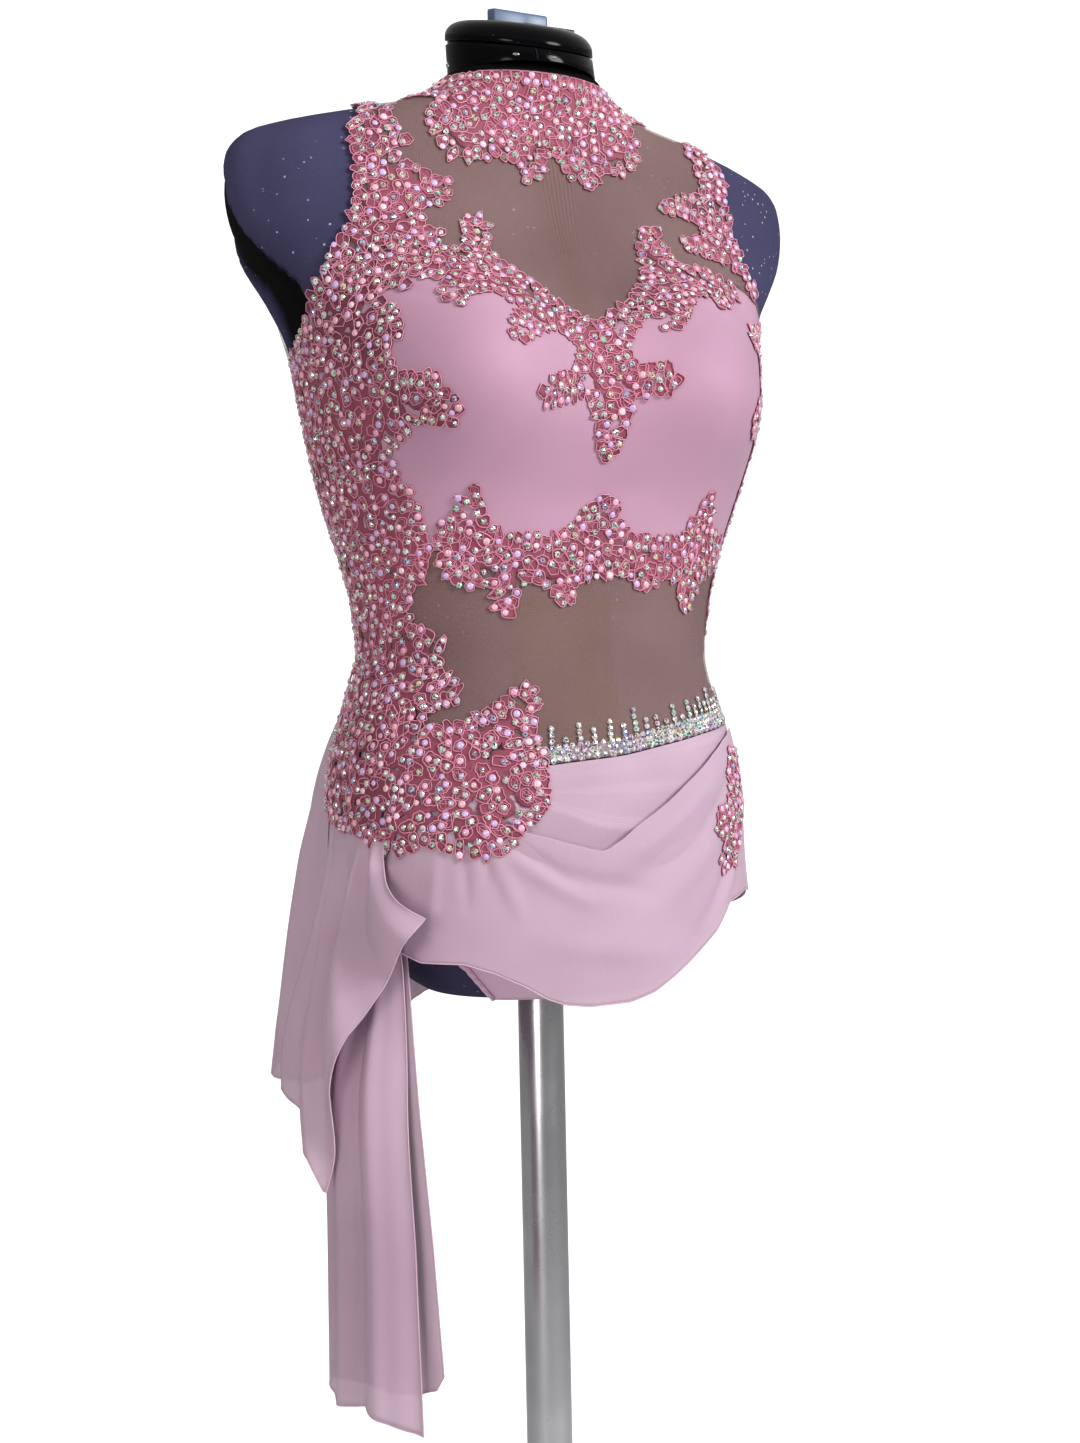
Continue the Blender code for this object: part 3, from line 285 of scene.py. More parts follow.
# angle, height of the back skirt's hem, and the angles between which it runs
BACK_HEM = [
    (58, 0.063), (75, 0.055), (100, 0.04), (130, 0.014), (160, -0.006), (185, -0.018), (198, -0.024),
    (212, -0.05), (230, -0.06), (255, -0.062), (264, -0.046),
]
BACK_START, BACK_END = 58.4, 263.0
# creases of each cloth: angle and height of both ends, width, depth
BUST_CREASES = [
    (30, 0.485, 24, 0.462, 0.003, -0.0013), (36, 0.486, 31, 0.458, 0.003, -0.0015),
    (42, 0.484, 40, 0.46, 0.0032, -0.0013), (-34, 0.484, -30, 0.468, 0.0032, -0.0007),
    (-50, 0.47, -34, 0.452, 0.004, -0.0008), (52, 0.474, 40, 0.45, 0.0042, -0.0009),
    (-3, 0.42, 3, 0.418, 0.006, 0.0006), (-14, 0.31, 10, 0.318, 0.007, 0.0007),
    (-8, 0.33, 16, 0.338, 0.008, -0.0006),
]
MIDRIFF_CREASES = [
    (-30, 0.214, 26, 0.222, 0.0042, 0.0006), (-10, 0.24, 40, 0.232, 0.005, 0.0005),
    (-24, 0.186, 10, 0.18, 0.004, 0.0005), (10, 0.2, 60, 0.208, 0.0045, -0.0005),
]
BACK_CREASES = [
    (130, 0.25, 235, 0.243, 0.006, 0.001), (120, 0.228, 220, 0.232, 0.0055, -0.0008),
    (145, 0.27, 210, 0.276, 0.006, 0.0008), (150, 0.3, 190, 0.312, 0.007, -0.0007),
    (200, 0.33, 235, 0.342, 0.007, 0.0008), (104, 0.44, 132, 0.41, 0.006, 0.0009),
    (256, 0.44, 228, 0.41, 0.006, 0.0009),
]
BRIEF_CREASES = [
    (-60, 0.06, -30, 0.075, 0.0045, -0.0006), (60, 0.06, 30, 0.075, 0.0045, -0.0006),
    (120, 0.07, 160, 0.06, 0.006, 0.0008), (240, 0.07, 200, 0.06, 0.006, 0.0008),
    (110, 0.15, 170, 0.135, 0.006, 0.0008), (180, 0.02, 180, 0.15, 0.005, -0.0012),
]
INNER_CREASES = [(-16, 0.1435, 24, 0.153, 0.005, 0.0008), (-16, 0.124, 0, 0.112, 0.005, 0.001)]
# shares down the drape's cloth: the tucks' upper and lower edges, the hidden fold and the cowl's lip
TUCK_SHARES = [0.0, 0.06, 0.064, 0.14, 0.144, 0.2, 0.204, 0.34]
FOLD_SHARE, LIP_SHARE = 0.34, 0.56
TUCK_HALF = 0.0004  # half the height of a tuck's edge, and how far the cloths start below the seam
# tucks of the front drape, each a lap of the cloth over what lies above it: angle and height of its edge
WAIST_TUCK = [
    (-56, 0.16), (-30, 0.151), (-15, 0.149), (-6, 0.151), (3, 0.156), (22, 0.162), (44, 0.1702),
    (57.6, 0.1765),
]
UPPER_TUCK = [
    (-56, 0.138), (-17, 0.137), (0, 0.138), (7, 0.139), (20, 0.14), (33, 0.145), (44, 0.156), (57.6, 0.168),
]
LOWER_TUCK = [
    (-56, 0.13), (-15, 0.131), (-10, 0.127), (-4, 0.12), (4, 0.115), (20, 0.115), (33, 0.12), (44, 0.138),
    (57.6, 0.16),
]
# angle, how far each tuck stands over the cloth above it
WAIST_STEP = [(-24, 0.0), (-16, 0.0008), (40, 0.0008), (52, 0.0002)]
UPPER_STEP = [(-30, 0.0), (-18, 0.0012), (4, 0.0009), (20, 0.0002), (26, 0.0)]
LOWER_STEP = [(-30, 0.0), (-18, 0.0014), (-8, 0.0026), (4, 0.0042), (12, 0.001), (20, 0.0)]
OUTER_CREASES = [
    (-27, 0.109, -12, 0.084, 0.0042, -0.0022), (-12, 0.084, 8, 0.07, 0.006, -0.0024),
    (-30, 0.1, -22, 0.06, 0.005, 0.0016), (-24, 0.094, -6, 0.066, 0.005, 0.0018),
    (-38, 0.1, -36, 0.066, 0.004, -0.0014), (-32, 0.104, -31, 0.082, 0.003, -0.0012),
    (-46, 0.098, -46, 0.05, 0.005, 0.0016), (2, 0.078, 26, 0.104, 0.008, -0.0018),
    (4, 0.096, 34, 0.14, 0.005, 0.0012), (10, 0.06, 44, 0.12, 0.009, 0.002),
    (26, 0.108, 44, 0.146, 0.004, -0.0014), (24, 0.04, 50, 0.11, 0.0065, -0.0022),
    (36, 0.06, 54, 0.12, 0.005, 0.002), (-14, 0.04, 12, 0.03, 0.009, 0.0018),
]
BACK_SKIRT_CREASES = [
    (100, 0.19, 108, 0.06, 0.006, 0.002), (124, 0.195, 138, 0.04, 0.007, -0.0022),
    (150, 0.2, 158, 0.02, 0.0065, 0.0024), (176, 0.2, 172, 0.01, 0.007, -0.0024),
    (196, 0.2, 202, 0.01, 0.0065, 0.0024), (216, 0.2, 226, -0.01, 0.007, -0.0026),
    (238, 0.2, 246, -0.03, 0.006, 0.0022), (72, 0.17, 78, 0.09, 0.005, 0.0016),
    (86, 0.18, 84, 0.06, 0.0055, -0.0018),
]


def cowl_gap(angle):
    """How wide the cowl stands open."""
    return 0.0012 + 0.0088 * table(COWL_OPEN, angle)


def inner_drape(angle, height):
    """How far the drape's upper layer lies off the body, down into the cowl."""
    found = SKIRT_OUT + creased(angle, height, INNER_CREASES)
    for edge, step in ((WAIST_TUCK, WAIST_STEP), (UPPER_TUCK, UPPER_STEP), (LOWER_TUCK, LOWER_STEP)):
        below = table(edge, angle) - height
        found = found + table(step, angle) * smooth(below / 0.0003) * np.exp(-np.maximum(below, 0) / 0.014)
    return found


def outer_drape(angle, height):
    """How far the drape's outer layer lies off the body, from the cowl's lip to the hem."""
    below = table(COWL_LIP, angle) - height
    gap = cowl_gap(angle) * (1 - 0.62 * smooth(below / 0.055))
    hanging = 0.003 * smooth((0.1 - height) / 0.06)
    ripple = 0.002 * np.sin(np.radians(angle * 7.0 + 40)) * smooth((0.075 - height) / 0.06)
    return SKIRT_OUT + 0.0012 + gap + hanging + ripple + creased(angle, height, OUTER_CREASES)


def back_out(angle, height):
    """How far the back skirt stands off the body, in soft flutes that deepen to the hem."""
    drop = np.clip((BACK_RELEASE - height) / 0.185, 0, 1)
    flare = 0.016 * drop + 0.01 * drop * np.sin(np.radians(angle * 6.5 + 20))
    flare = flare * smooth((angle - 56) / 50)
    valley = 0.03 * drop * np.exp(-(((angle - 266) / 7.0) ** 2))
    stand = 0.008 * drop * np.exp(-(((angle - 250) / 11.0) ** 2))
    from_waist = np.clip((0.212 - height) / 0.24, 0, 1) ** 0.5
    stand = stand + 0.025 * from_waist * np.exp(-(((angle - 237) / 12.0) ** 2))
    return SKIRT_OUT + np.maximum(flare + stand - valley, 0.004 * drop)


def lace_lift(angle, height):
    """How far lace lies off the body: close above the skirt's seam, over the skirt below it."""
    wrapped = np.where(angle > 180, angle - 360, angle)
    below = smooth((table(SKIRT_SEAM, wrapped) + 0.024 - height) / 0.02)
    under_lip = smooth((table(COWL_LIP, angle) + 0.01 - height) / 0.008)
    drape = inner_drape(angle, height) * (1 - under_lip) + outer_drape(angle, height) * under_lip + 0.001
    skirt = np.where(angle < -34, np.maximum(LACE_OVER_SKIRT, drape), drape)
    skirt = np.where(angle < -61, LACE_OVER_SKIRT, skirt)
    skirt = np.where(angle < -97, np.maximum(skirt, back_out(angle + 360, height) + 0.0016), skirt)
    skirt = np.where(angle > 56, back_out(angle, height) + 0.0012, skirt)
    return LACE_OUT * (1 - below) + skirt * below


# the flap's top and hem: share across, angle, height
FLAP_TOP = np.array([
    (0.0, -62.5, 0.122), (0.25, -70.0, 0.126), (0.5, -78.0, 0.132), (0.75, -86.5, 0.138),
    (1.0, -95.0, 0.142),
])
FLAP_HEM = np.array([
    (0.0, -45.0, 0.062), (0.12, -50.0, 0.045), (0.25, -56.0, 0.02), (0.4, -64.0, -0.012),
    (0.52, -70.0, -0.05), (0.6, -72.0, -0.092), (0.66, -74.0, -0.118), (0.72, -78.0, -0.096),
    (0.84, -86.0, -0.078), (1.0, -100.0, -0.062),
])
# the tail's leaves: height, angle of the front leaf's free edge, of the fold, of the rear leaf's edge
TAIL_LEAVES = np.array([
    (0.055, -57.5, -78.0, -56.5), (0.024, -56.0, -80.0, -55.0), (-0.046, -54.0, -86.0, -52.0),
    (-0.149, -51.5, -86.0, -48.0), (-0.27, -50.5, -87.0, -44.5),
])
# the tail's hem: share along the folded cloth, height
TAIL_HEM = np.array([
    (0.0, -0.268), (0.1, -0.262), (0.22, -0.254), (0.4, -0.256), (0.5, -0.248), (0.62, -0.246),
    (0.9, -0.245), (0.97, -0.241), (1.0, -0.232),
])


# folds of the hanging cloths: share across at the top and at the hem, width in shares, depth
FLAP_FOLDS = [
    (0.15, 0.1, 0.06, 0.004), (0.24, 0.24, 0.05, -0.0035), (0.35, 0.44, 0.07, 0.0075),
    (0.62, 0.6, 0.06, -0.0085), (0.8, 0.74, 0.055, 0.007), (0.92, 0.9, 0.04, -0.005),
]
TAIL_FOLDS = [
    (0.0, 0.01, 0.06, -0.006), (0.15, 0.17, 0.04, 0.005), (0.225, 0.245, 0.022, -0.0045),
    (0.31, 0.33, 0.036, 0.006), (0.41, 0.425, 0.03, -0.0045), (0.62, 0.66, 0.035, -0.004),
    (0.74, 0.8, 0.04, 0.004), (0.9, 0.93, 0.03, -0.003),
]
BACK_FOLDS = [
    (0.66, 0.64, 0.016, 0.006), (0.7, 0.69, 0.014, -0.006), (0.745, 0.74, 0.018, 0.008),
    (0.79, 0.79, 0.014, -0.008), (0.835, 0.83, 0.016, 0.0085), (0.875, 0.88, 0.013, -0.0085),
    (0.915, 0.925, 0.014, 0.006),
]


def folds(u, v, rows, start):
    """Soft uneven ridges and troughs that run down a hanging cloth."""
    found = 0.0 * (u + v)
    for top, hem, wide, deep in rows:
        away = (u - top - (hem - top) * v) / wide
        found = found + deep * np.exp(-(away**2)) * (0.85 + 0.15 * np.sin(7 * v + 40 * top))
    return found * smooth((v - start) / 0.3)


def column(rows, k, value):
    """Column k of the rows at a value of their first column."""
    order = np.argsort(rows[:, 0])
    return np.interp(value, rows[order, 0], rows[order, k])


def flap_place(u, v):
    """The cascade's pointed flap: u runs round the hip from its free edge, v down to its hem."""
    top_a, top_h = column(FLAP_TOP, 1, u), column(FLAP_TOP, 2, u)
    hem_a, hem_h = column(FLAP_HEM, 1, u), column(FLAP_HEM, 2, u)
    height = top_h + (hem_h - top_h) * v
    share = np.clip((FLAP_RELEASE - height) / (FLAP_RELEASE - hem_h), 0, 1)
    angle = top_a + (hem_a - top_a) * share**1.6
    waves = 0.88 + 0.12 * np.cos(2 * np.pi * (1.7 * u + 0.05))
    out = SKIRT_OUT + 0.0345 * smooth(share * 1.1) * waves
    edge = 0.005 * np.exp(-((u / 0.05) ** 2)) * smooth(share * 1.5)
    stand = 0.004 * smooth((v - 0.1) / 0.3)
    return lifted(angle, height, out + stand + folds(u, v, FLAP_FOLDS, 0.1) - edge)


def tail_place(u, v):
    """The folded tail: u runs from the front leaf's free edge round the fold to the rear leaf."""
    height = TAIL_LEAVES[0, 0] + (column(TAIL_HEM, 1, u) - TAIL_LEAVES[0, 0]) * v
    free, fold, rear = (column(TAIL_LEAVES, k, height) for k in (1, 2, 3))
    to_fold, to_rear = np.clip(u / 0.5, 0, 1), np.clip((u - 0.5) / 0.5, 0, 1)
    angle = np.where(u < 0.5, free + (fold - free) * to_fold, fold + (rear - fold) * to_rear)
    opening = smooth(v * 2.2)
    front = 0.008 + 0.016 * opening
    back = 0.0042 + 0.006 * opening
    turn = smooth((u - 0.42) / 0.16)
    return lifted(angle, height, front * (1 - turn) + back * turn + folds(u, v, TAIL_FOLDS, 0.0))


def drape_rows():
    """Shares down the drape's cloth, close together at the tucks' edges and round the cowl's lip."""
    rows = [np.linspace(0.005, 0.06, 5), np.linspace(0.064, 0.14, 8), np.linspace(0.144, 0.2, 6)]
    rows += [np.linspace(0.204, 0.33, 14), [0.337, 0.34, 0.343], np.linspace(0.35, 0.545, 14)]
    rows += [[0.55, 0.555, 0.5585, 0.5605, 0.5635, 0.568], np.linspace(0.576, 1, 44)]
    return np.concatenate([[0.0]] + rows)


def drape_place(u, v):
    """The front drape down its cloth: seam, hidden fold, the cowl's lip, and over it to the hem."""
    at = DRAPE_START + (DRAPE_END - DRAPE_START) * u
    lip = (table(COWL_LIP, at - 0.8) + table(COWL_LIP, at) + table(COWL_LIP, at + 0.8)) / 3
    top, fold, hem = table(SKIRT_SEAM, at) - TUCK_HALF, table(COWL_FOLD, at), table(DRAPE_HEM, at)
    fold = np.minimum(fold, lip - 0.004)
    waist = np.minimum(table(WAIST_TUCK, at), top - 0.0012)
    upper = np.clip(table(UPPER_TUCK, at), fold + 0.004, waist - 0.002)
    lower = np.clip(table(LOWER_TUCK, at), fold + 0.002, upper - 0.0016)
    levels = [top] + [tuck + shift for tuck in (waist, upper, lower) for shift in (TUCK_HALF, -TUCK_HALF)]
    levels, height = levels + [fold], top
    for s0, s1, h0, h1 in zip(TUCK_SHARES, TUCK_SHARES[1:], levels, levels[1:]):
        height = np.where(v > s0, h0 + (h1 - h0) * np.clip((v - s0) / (s1 - s0), 0, 1), height)
    up = np.clip((v - FOLD_SHARE) / (LIP_SHARE - FOLD_SHARE), 0, 1)
    over = np.clip((v - LIP_SHARE) / (1 - LIP_SHARE), 0, 1)
    height = np.where(v > FOLD_SHARE, fold + (lip - fold) * up, height)
    height = np.where(v > LIP_SHARE, lip + (hem - lip) * over, height)
    gap = cowl_gap(at)
    at_fold = inner_drape(at, fold) + 0.0008
    back_layer = at_fold + (SKIRT_OUT + 0.001 + gap - at_fold) * smooth((up - 0.25) / 0.75)
    out = np.where(v < FOLD_SHARE, inner_drape(at, height), back_layer)
    out = np.where(v > LIP_SHARE, outer_drape(at, height), out)
    angle = table(DRAPE_EDGE, height)
    angle = angle + (DRAPE_END - angle) * u
    under_flap = np.clip(1 - u / 0.06, 0, 1)
    angle = angle - table(DRAPE_UNDER, height) * under_flap
    tucked = smooth(1.8 * under_flap - 0.8) * smooth((height - 0.088) / 0.012)
    return lifted(angle, height, out + (0.0024 - out) * tucked)


def back_skirt_place(u, v):
    """The back skirt: u runs round the back from the wearer's left hip, v down to its hem."""
    angle = BACK_START + (BACK_END - BACK_START) * u
    wrapped = np.where(angle > 180, angle - 360, angle)
    top, hem = table(SKIRT_SEAM, wrapped) - TUCK_HALF, table(BACK_HEM, angle)
    height = top + (hem - top) * v
    out = back_out(angle, height) + creased(angle, height, BACK_SKIRT_CREASES) * smooth(v * 3)
    out = out + folds(u, v, BACK_FOLDS, 0.18)
    return lifted(angle, height, np.maximum(out, SKIRT_OUT))


# outlines of the lace appliques: angle, height
COLLAR_LACE = [
    (-104, 0.6085), (-90, 0.6075), (-62, 0.606), (-45, 0.603), (-34, 0.597), (-27, 0.588), (-21, 0.579),
    (-17, 0.5655), (-14, 0.5573), (-9, 0.5595), (-6, 0.5633), (-3, 0.556), (-2.5, 0.5445), (-1, 0.5528),
    (0, 0.5708), (1, 0.5558), (4, 0.546), (6, 0.561), (10, 0.561), (16, 0.579), (25, 0.597), (34, 0.601),
    (45, 0.6035), (62, 0.606), (90, 0.6075), (104, 0.6085), (106, 0.624), (60, 0.624), (0, 0.624),
    (-60, 0.624), (-106, 0.624),
]
NECKLINE_LACE = [
    (-41, 0.487), (-34, 0.49), (-27, 0.487), (-20, 0.489), (-17.5, 0.5), (-15, 0.516), (-12, 0.517),
    (-11, 0.508), (-14, 0.494), (-13, 0.484), (-9, 0.472), (-5, 0.456), (0, 0.443), (4, 0.449), (8, 0.462),
    (11, 0.475), (12, 0.49), (11, 0.508), (13, 0.522), (16, 0.522), (17, 0.506), (20, 0.493), (30, 0.492),
    (36, 0.488), (41, 0.482), (40, 0.474), (36, 0.47), (34, 0.462), (30, 0.461), (29, 0.472), (23, 0.468),
    (20, 0.452), (17, 0.438), (13, 0.44), (12, 0.452), (8, 0.44), (6, 0.424), (8, 0.414), (15, 0.412),
    (17, 0.402), (12, 0.394), (7, 0.396), (6, 0.38), (5, 0.362), (2, 0.353), (0, 0.36), (0, 0.378),
    (-3, 0.394), (-9, 0.388), (-15, 0.384), (-17, 0.392), (-12, 0.402), (-5, 0.41), (-3, 0.424),
    (-8, 0.436), (-14, 0.43), (-20, 0.42), (-23, 0.424), (-20, 0.436), (-15, 0.446), (-20, 0.456),
    (-27, 0.452), (-31, 0.444), (-34, 0.45), (-30, 0.464), (-36, 0.47), (-41, 0.472),
]
SHOULDER_LACE = [
    (43, 0.585), (38, 0.568), (36, 0.548), (38, 0.525), (45, 0.502), (54, 0.487), (52, 0.483), (47, 0.486),
    (44, 0.495), (36, 0.504), (30, 0.505), (22, 0.509), (21, 0.514), (28, 0.52), (28, 0.53), (16, 0.537),
    (16, 0.545), (26, 0.549), (29, 0.56), (30, 0.572), (35, 0.585), (46, 0.5915), (58, 0.5955), (76, 0.599),
    (84, 0.5992), (84, 0.5984), (72, 0.5974), (56, 0.593),
]
SHOULDER_RIGHT_LACE = [
    (-84, 0.5992), (-76, 0.599), (-58, 0.5955), (-46, 0.5918), (-38, 0.5895), (-30, 0.58), (-23, 0.5685),
    (-26, 0.5655), (-28, 0.5595), (-25, 0.5575), (-23, 0.55), (-19, 0.544), (-15, 0.539), (-17, 0.53),
    (-20, 0.521), (-26, 0.52), (-24, 0.514), (-25, 0.505), (-21, 0.5), (-24, 0.4935), (-28, 0.4905),
    (-34, 0.493), (-43, 0.4895), (-43, 0.47), (-38, 0.462), (-42, 0.457), (-47, 0.46), (-53, 0.4735),
    (-56.5, 0.48), (-54, 0.4848), (-45, 0.502), (-38, 0.525), (-36, 0.548), (-38, 0.568), (-43, 0.585),
    (-56, 0.593), (-72, 0.5974), (-84, 0.5984),
]
UNDERBUST_LACE = [
    (-44, 0.312), (-38, 0.316), (-36, 0.33), (-31, 0.336), (-29, 0.324), (-26, 0.306), (-18, 0.302),
    (-10, 0.303), (-4, 0.312), (0, 0.328), (5, 0.332), (7, 0.318), (10, 0.306), (20, 0.303), (30, 0.306),
    (34, 0.322), (37, 0.338), (41, 0.335), (42, 0.318), (50, 0.31), (61, 0.308), (63, 0.298), (61, 0.288),
    (50, 0.286), (44, 0.276), (38, 0.258), (34, 0.256), (33, 0.268), (28, 0.28), (22, 0.278), (18, 0.268),
    (14, 0.27), (13, 0.28), (4, 0.279), (-3, 0.276), (-6, 0.26), (-9, 0.258), (-11, 0.27), (-16, 0.276),
    (-20, 0.27), (-23, 0.25), (-27, 0.248), (-28, 0.262), (-31, 0.276), (-37, 0.27), (-42, 0.276),
    (-44, 0.284),
]
SIDE_LACE = [
    (-56, 0.472), (-50, 0.458), (-46, 0.44), (-48, 0.428), (-55, 0.418), (-52, 0.404), (-42, 0.399),
    (-37, 0.378), (-39, 0.37), (-48, 0.375), (-57, 0.36), (-56, 0.342), (-50, 0.332), (-48, 0.314),
    (-47, 0.294), (-52, 0.278), (-60, 0.264), (-60, 0.249), (-50, 0.242), (-46, 0.233), (-48, 0.219),
    (-40, 0.203), (-40, 0.196), (-50, 0.195), (-53, 0.183), (-48, 0.179), (-38, 0.183), (-30, 0.192),
    (-22, 0.204), (-18, 0.205), (-16, 0.19), (-17.5, 0.174), (-15, 0.166), (-14.5, 0.145), (-15.5, 0.124),
    (-23, 0.114), (-25, 0.104), (-35, 0.096), (-40, 0.103), (-50, 0.107), (-58, 0.099), (-67, 0.102),
    (-74, 0.113), (-86, 0.116), (-96, 0.124), (-103, 0.15), (-106, 0.19), (-107, 0.24), (-107, 0.3),
    (-109, 0.35), (-105, 0.4), (-97, 0.43), (-88, 0.4345), (-78, 0.448), (-66, 0.468), (-58, 0.476),
]
LEFT_SIDE_LACE = [
    (64, 0.466), (57, 0.456), (47, 0.452), (46, 0.442), (58, 0.436), (64, 0.42), (60, 0.404), (50, 0.4),
    (46, 0.386), (50, 0.378), (61, 0.378), (68, 0.36), (63, 0.342), (66, 0.324), (69, 0.3), (67, 0.27),
    (74, 0.248), (80, 0.226), (92, 0.224), (100, 0.245), (104, 0.3), (102, 0.36), (98, 0.42), (88, 0.4345),
    (78, 0.448),
]
LEFT_HIP_LACE = [
    (46, 0.158), (56, 0.16), (58, 0.14), (52, 0.118), (48, 0.1), (42, 0.082), (36, 0.078), (34, 0.09),
    (37, 0.1), (32, 0.108), (35, 0.12), (42, 0.126), (44, 0.142),
]
# angles of the crystal band's ends, and from one spike to the next
TRIM_FROM, TRIM_TO, TRIM_PITCH = -17.0, 87.0, 3.7
# stones between two spikes: share of the pitch, height, width; then the number of stones in each spike
TRIM_STONES = [(0.5, 0.003, 0.0042), (0.22, 0.0066, 0.0046), (0.74, 0.007, 0.0046), (0.46, 0.0104, 0.0045)]
SPIKES = [3, 2, 4, 2, 4, 3, 4, 3, 5, 3]

# each cloth's cut: width, length and the share of that rectangle which it fills
CUTS = {
    "mesh_yoke": (0.4, 0.2, 0.51), "satin_bust": (0.5, 0.22, 0.72), "mesh_midriff": (0.4, 0.15, 0.7),
    "mesh_back": (0.46, 0.43, 0.75), "mesh_collar": (0.38, 0.032, 0.95),
    "brief_front_shell": (0.4, 0.2, 0.7), "brief_back_shell": (0.42, 0.22, 0.74),
    "leg_band_right_front": (0.15, 0.012, 0.5), "leg_band_left_front": (0.15, 0.012, 0.5),
    "leg_band_right_back": (0.17, 0.012, 0.5), "leg_band_left_back": (0.17, 0.012, 0.5),
    "gusset_shell": (0.12, 0.15, 0.53), "chiffon_drape": (0.3, 0.34, 0.79),
    "chiffon_back_skirt": (0.56, 0.28, 0.7), "chiffon_flap": (0.14, 0.26, 0.69),
    "chiffon_tail": (0.21, 0.34, 0.74), "lace_net_collar": (0.36, 0.042, 0.83),
    "lace_net_neckline": (0.3, 0.062, 0.77), "lace_net_shoulder_right": (0.14, 0.06, 0.72),
    "lace_net_shoulder_left": (0.1, 0.06, 0.66), "lace_net_underbust": (0.28, 0.05, 0.71),
    "lace_net_side_right": (0.44, 0.17, 0.61), "lace_net_side_left": (0.27, 0.125, 0.52),
    "lace_net_hip_left": (0.1, 0.032, 0.79), "trim_backing": (0.26, 0.012, 0.75),
}

# Materials


def put(tree, kind, inputs=None, **settings):
    """A node with its settings; each input is a value, or another node's output."""
    node = tree.nodes.new(kind)
    for key, value in settings.items():
        setattr(node, key, value)
    for key, value in (inputs or {}).items():
        if isinstance(value, bpy.types.NodeSocket):
            tree.links.new(value, node.inputs[key])
        else:
            node.inputs[key].default_value = value
    return node


def sums(tree, operation, first, second=0.0):
    return put(tree, "ShaderNodeMath", {0: first, 1: second}, operation=operation).outputs[0]


def mixed(tree, share, first, second, blend="MIX"):
    node = put(tree, "ShaderNodeMix", {0: share, 6: first, 7: second}, data_type="RGBA", blend_type=blend)
    return node.outputs[2]


def node_group(name, kind, inputs, outputs):
    """A new node group with its start and its end; an input is (label, kind, default or None)."""
    group = bpy.data.node_groups.new(name, kind)
    for label, socket_kind, value in inputs:
        socket = group.interface.new_socket(name=label, in_out="INPUT", socket_type=socket_kind)
        if value is not None:
            socket.default_value = value
    for label, socket_kind in outputs:
        group.interface.new_socket(name=label, in_out="OUTPUT", socket_type=socket_kind)
    return group, group.nodes.new("NodeGroupInput"), group.nodes.new("NodeGroupOutput")


FLOAT, COLOUR, VECTOR = "NodeSocketFloat", "NodeSocketColor", "NodeSocketVector"


def weave_group():
    """Crossing threads: a height for the bump and a mask that is 1 in the gaps of the net."""
    group, start, end = node_group("crossed threads", "ShaderNodeTree", [
        ("Place", VECTOR, None), ("Threads per metre", FLOAT, 900.0), ("Slack", FLOAT, 0.3),
    ], [("Height", FLOAT), ("Gaps", FLOAT)])
    place, threads, slack = (start.outputs[k] for k in range(3))
    wobble = put(group, "ShaderNodeTexNoise", {"Vector": place, "Scale": 180.0, "Detail": 1.0})
    parts = put(group, "ShaderNodeSeparateXYZ", {0: place})
    waves = []
    for axis in (0, 1):
        run = sums(group, "MULTIPLY", parts.outputs[axis], threads)
        shifted = sums(group, "MULTIPLY", wobble.outputs[0], slack)
        turn = sums(group, "MULTIPLY", sums(group, "ADD", run, shifted), math.pi)
        waves.append(sums(group, "ABSOLUTE", sums(group, "SINE", turn)))
    gaps = sums(group, "MULTIPLY", *waves)
    group.links.new(sums(group, "SUBTRACT", 1.0, gaps), end.inputs["Height"])
    group.links.new(gaps, end.inputs["Gaps"])
    return group


def drift_group():
    """Slow and fine changes of a cloth's colour between a light and a dark tone."""
    group, start, end = node_group("uneven dye", "ShaderNodeTree", [
        ("Place", VECTOR, None), ("Light", COLOUR, None), ("Dark", COLOUR, None), ("Size", FLOAT, 9.0),
        ("Fine share", FLOAT, 0.3),
    ], [("Colour", COLOUR), ("Mask", FLOAT)])
    place, light, dark, size, share = (start.outputs[k] for k in range(5))
    slow = put(group, "ShaderNodeTexNoise", {"Vector": place, "Scale": size, "Detail": 2.0})
    fine = put(group, "ShaderNodeTexNoise", {
        "Vector": place, "Scale": 900.0, "Detail": 2.0, "Roughness": 0.7})
    spread = put(group, "ShaderNodeMapRange", {0: slow.outputs[0], 1: 0.35, 2: 0.65})
    both = {0: share, 2: spread.outputs[0], 3: fine.outputs[0]}
    both = put(group, "ShaderNodeMix", both, data_type="FLOAT")
    group.links.new(mixed(group, both.outputs[0], light, dark), end.inputs["Colour"])
    group.links.new(both.outputs[0], end.inputs["Mask"])
    return group


def lint_group():
    """Small pale specks of dust and lint, thinly scattered."""
    group, start, end = node_group("specks of lint", "ShaderNodeTree", [
        ("Place", VECTOR, None), ("Cells per metre", FLOAT, 160.0), ("Size", FLOAT, 0.1),
        ("Share", FLOAT, 0.2),
    ], [("Mask", FLOAT)])
    place, count, size, share = (start.outputs[k] for k in range(4))
    cells = put(group, "ShaderNodeTexVoronoi", {"Vector": place, "Scale": count})
    near = sums(group, "LESS_THAN", cells.outputs["Distance"], size)
    pick = put(group, "ShaderNodeSeparateColor", {0: cells.outputs["Color"]})
    kept = sums(group, "LESS_THAN", pick.outputs[0], share)
    group.links.new(sums(group, "MULTIPLY", near, kept), end.inputs["Mask"])
    return group


WEAVE, DRIFT, LINT = weave_group(), drift_group(), lint_group()


def material(name, **sockets):
    """A material whose Principled BSDF has its own plain values set on the named sockets."""
    made = bpy.data.materials.new(name)
    made.use_nodes = True
    shader = made.node_tree.nodes["Principled BSDF"]
    for key, value in sockets.items():
        shader.inputs[key.replace("_", " ")].default_value = value
    return made, made.node_tree, shader


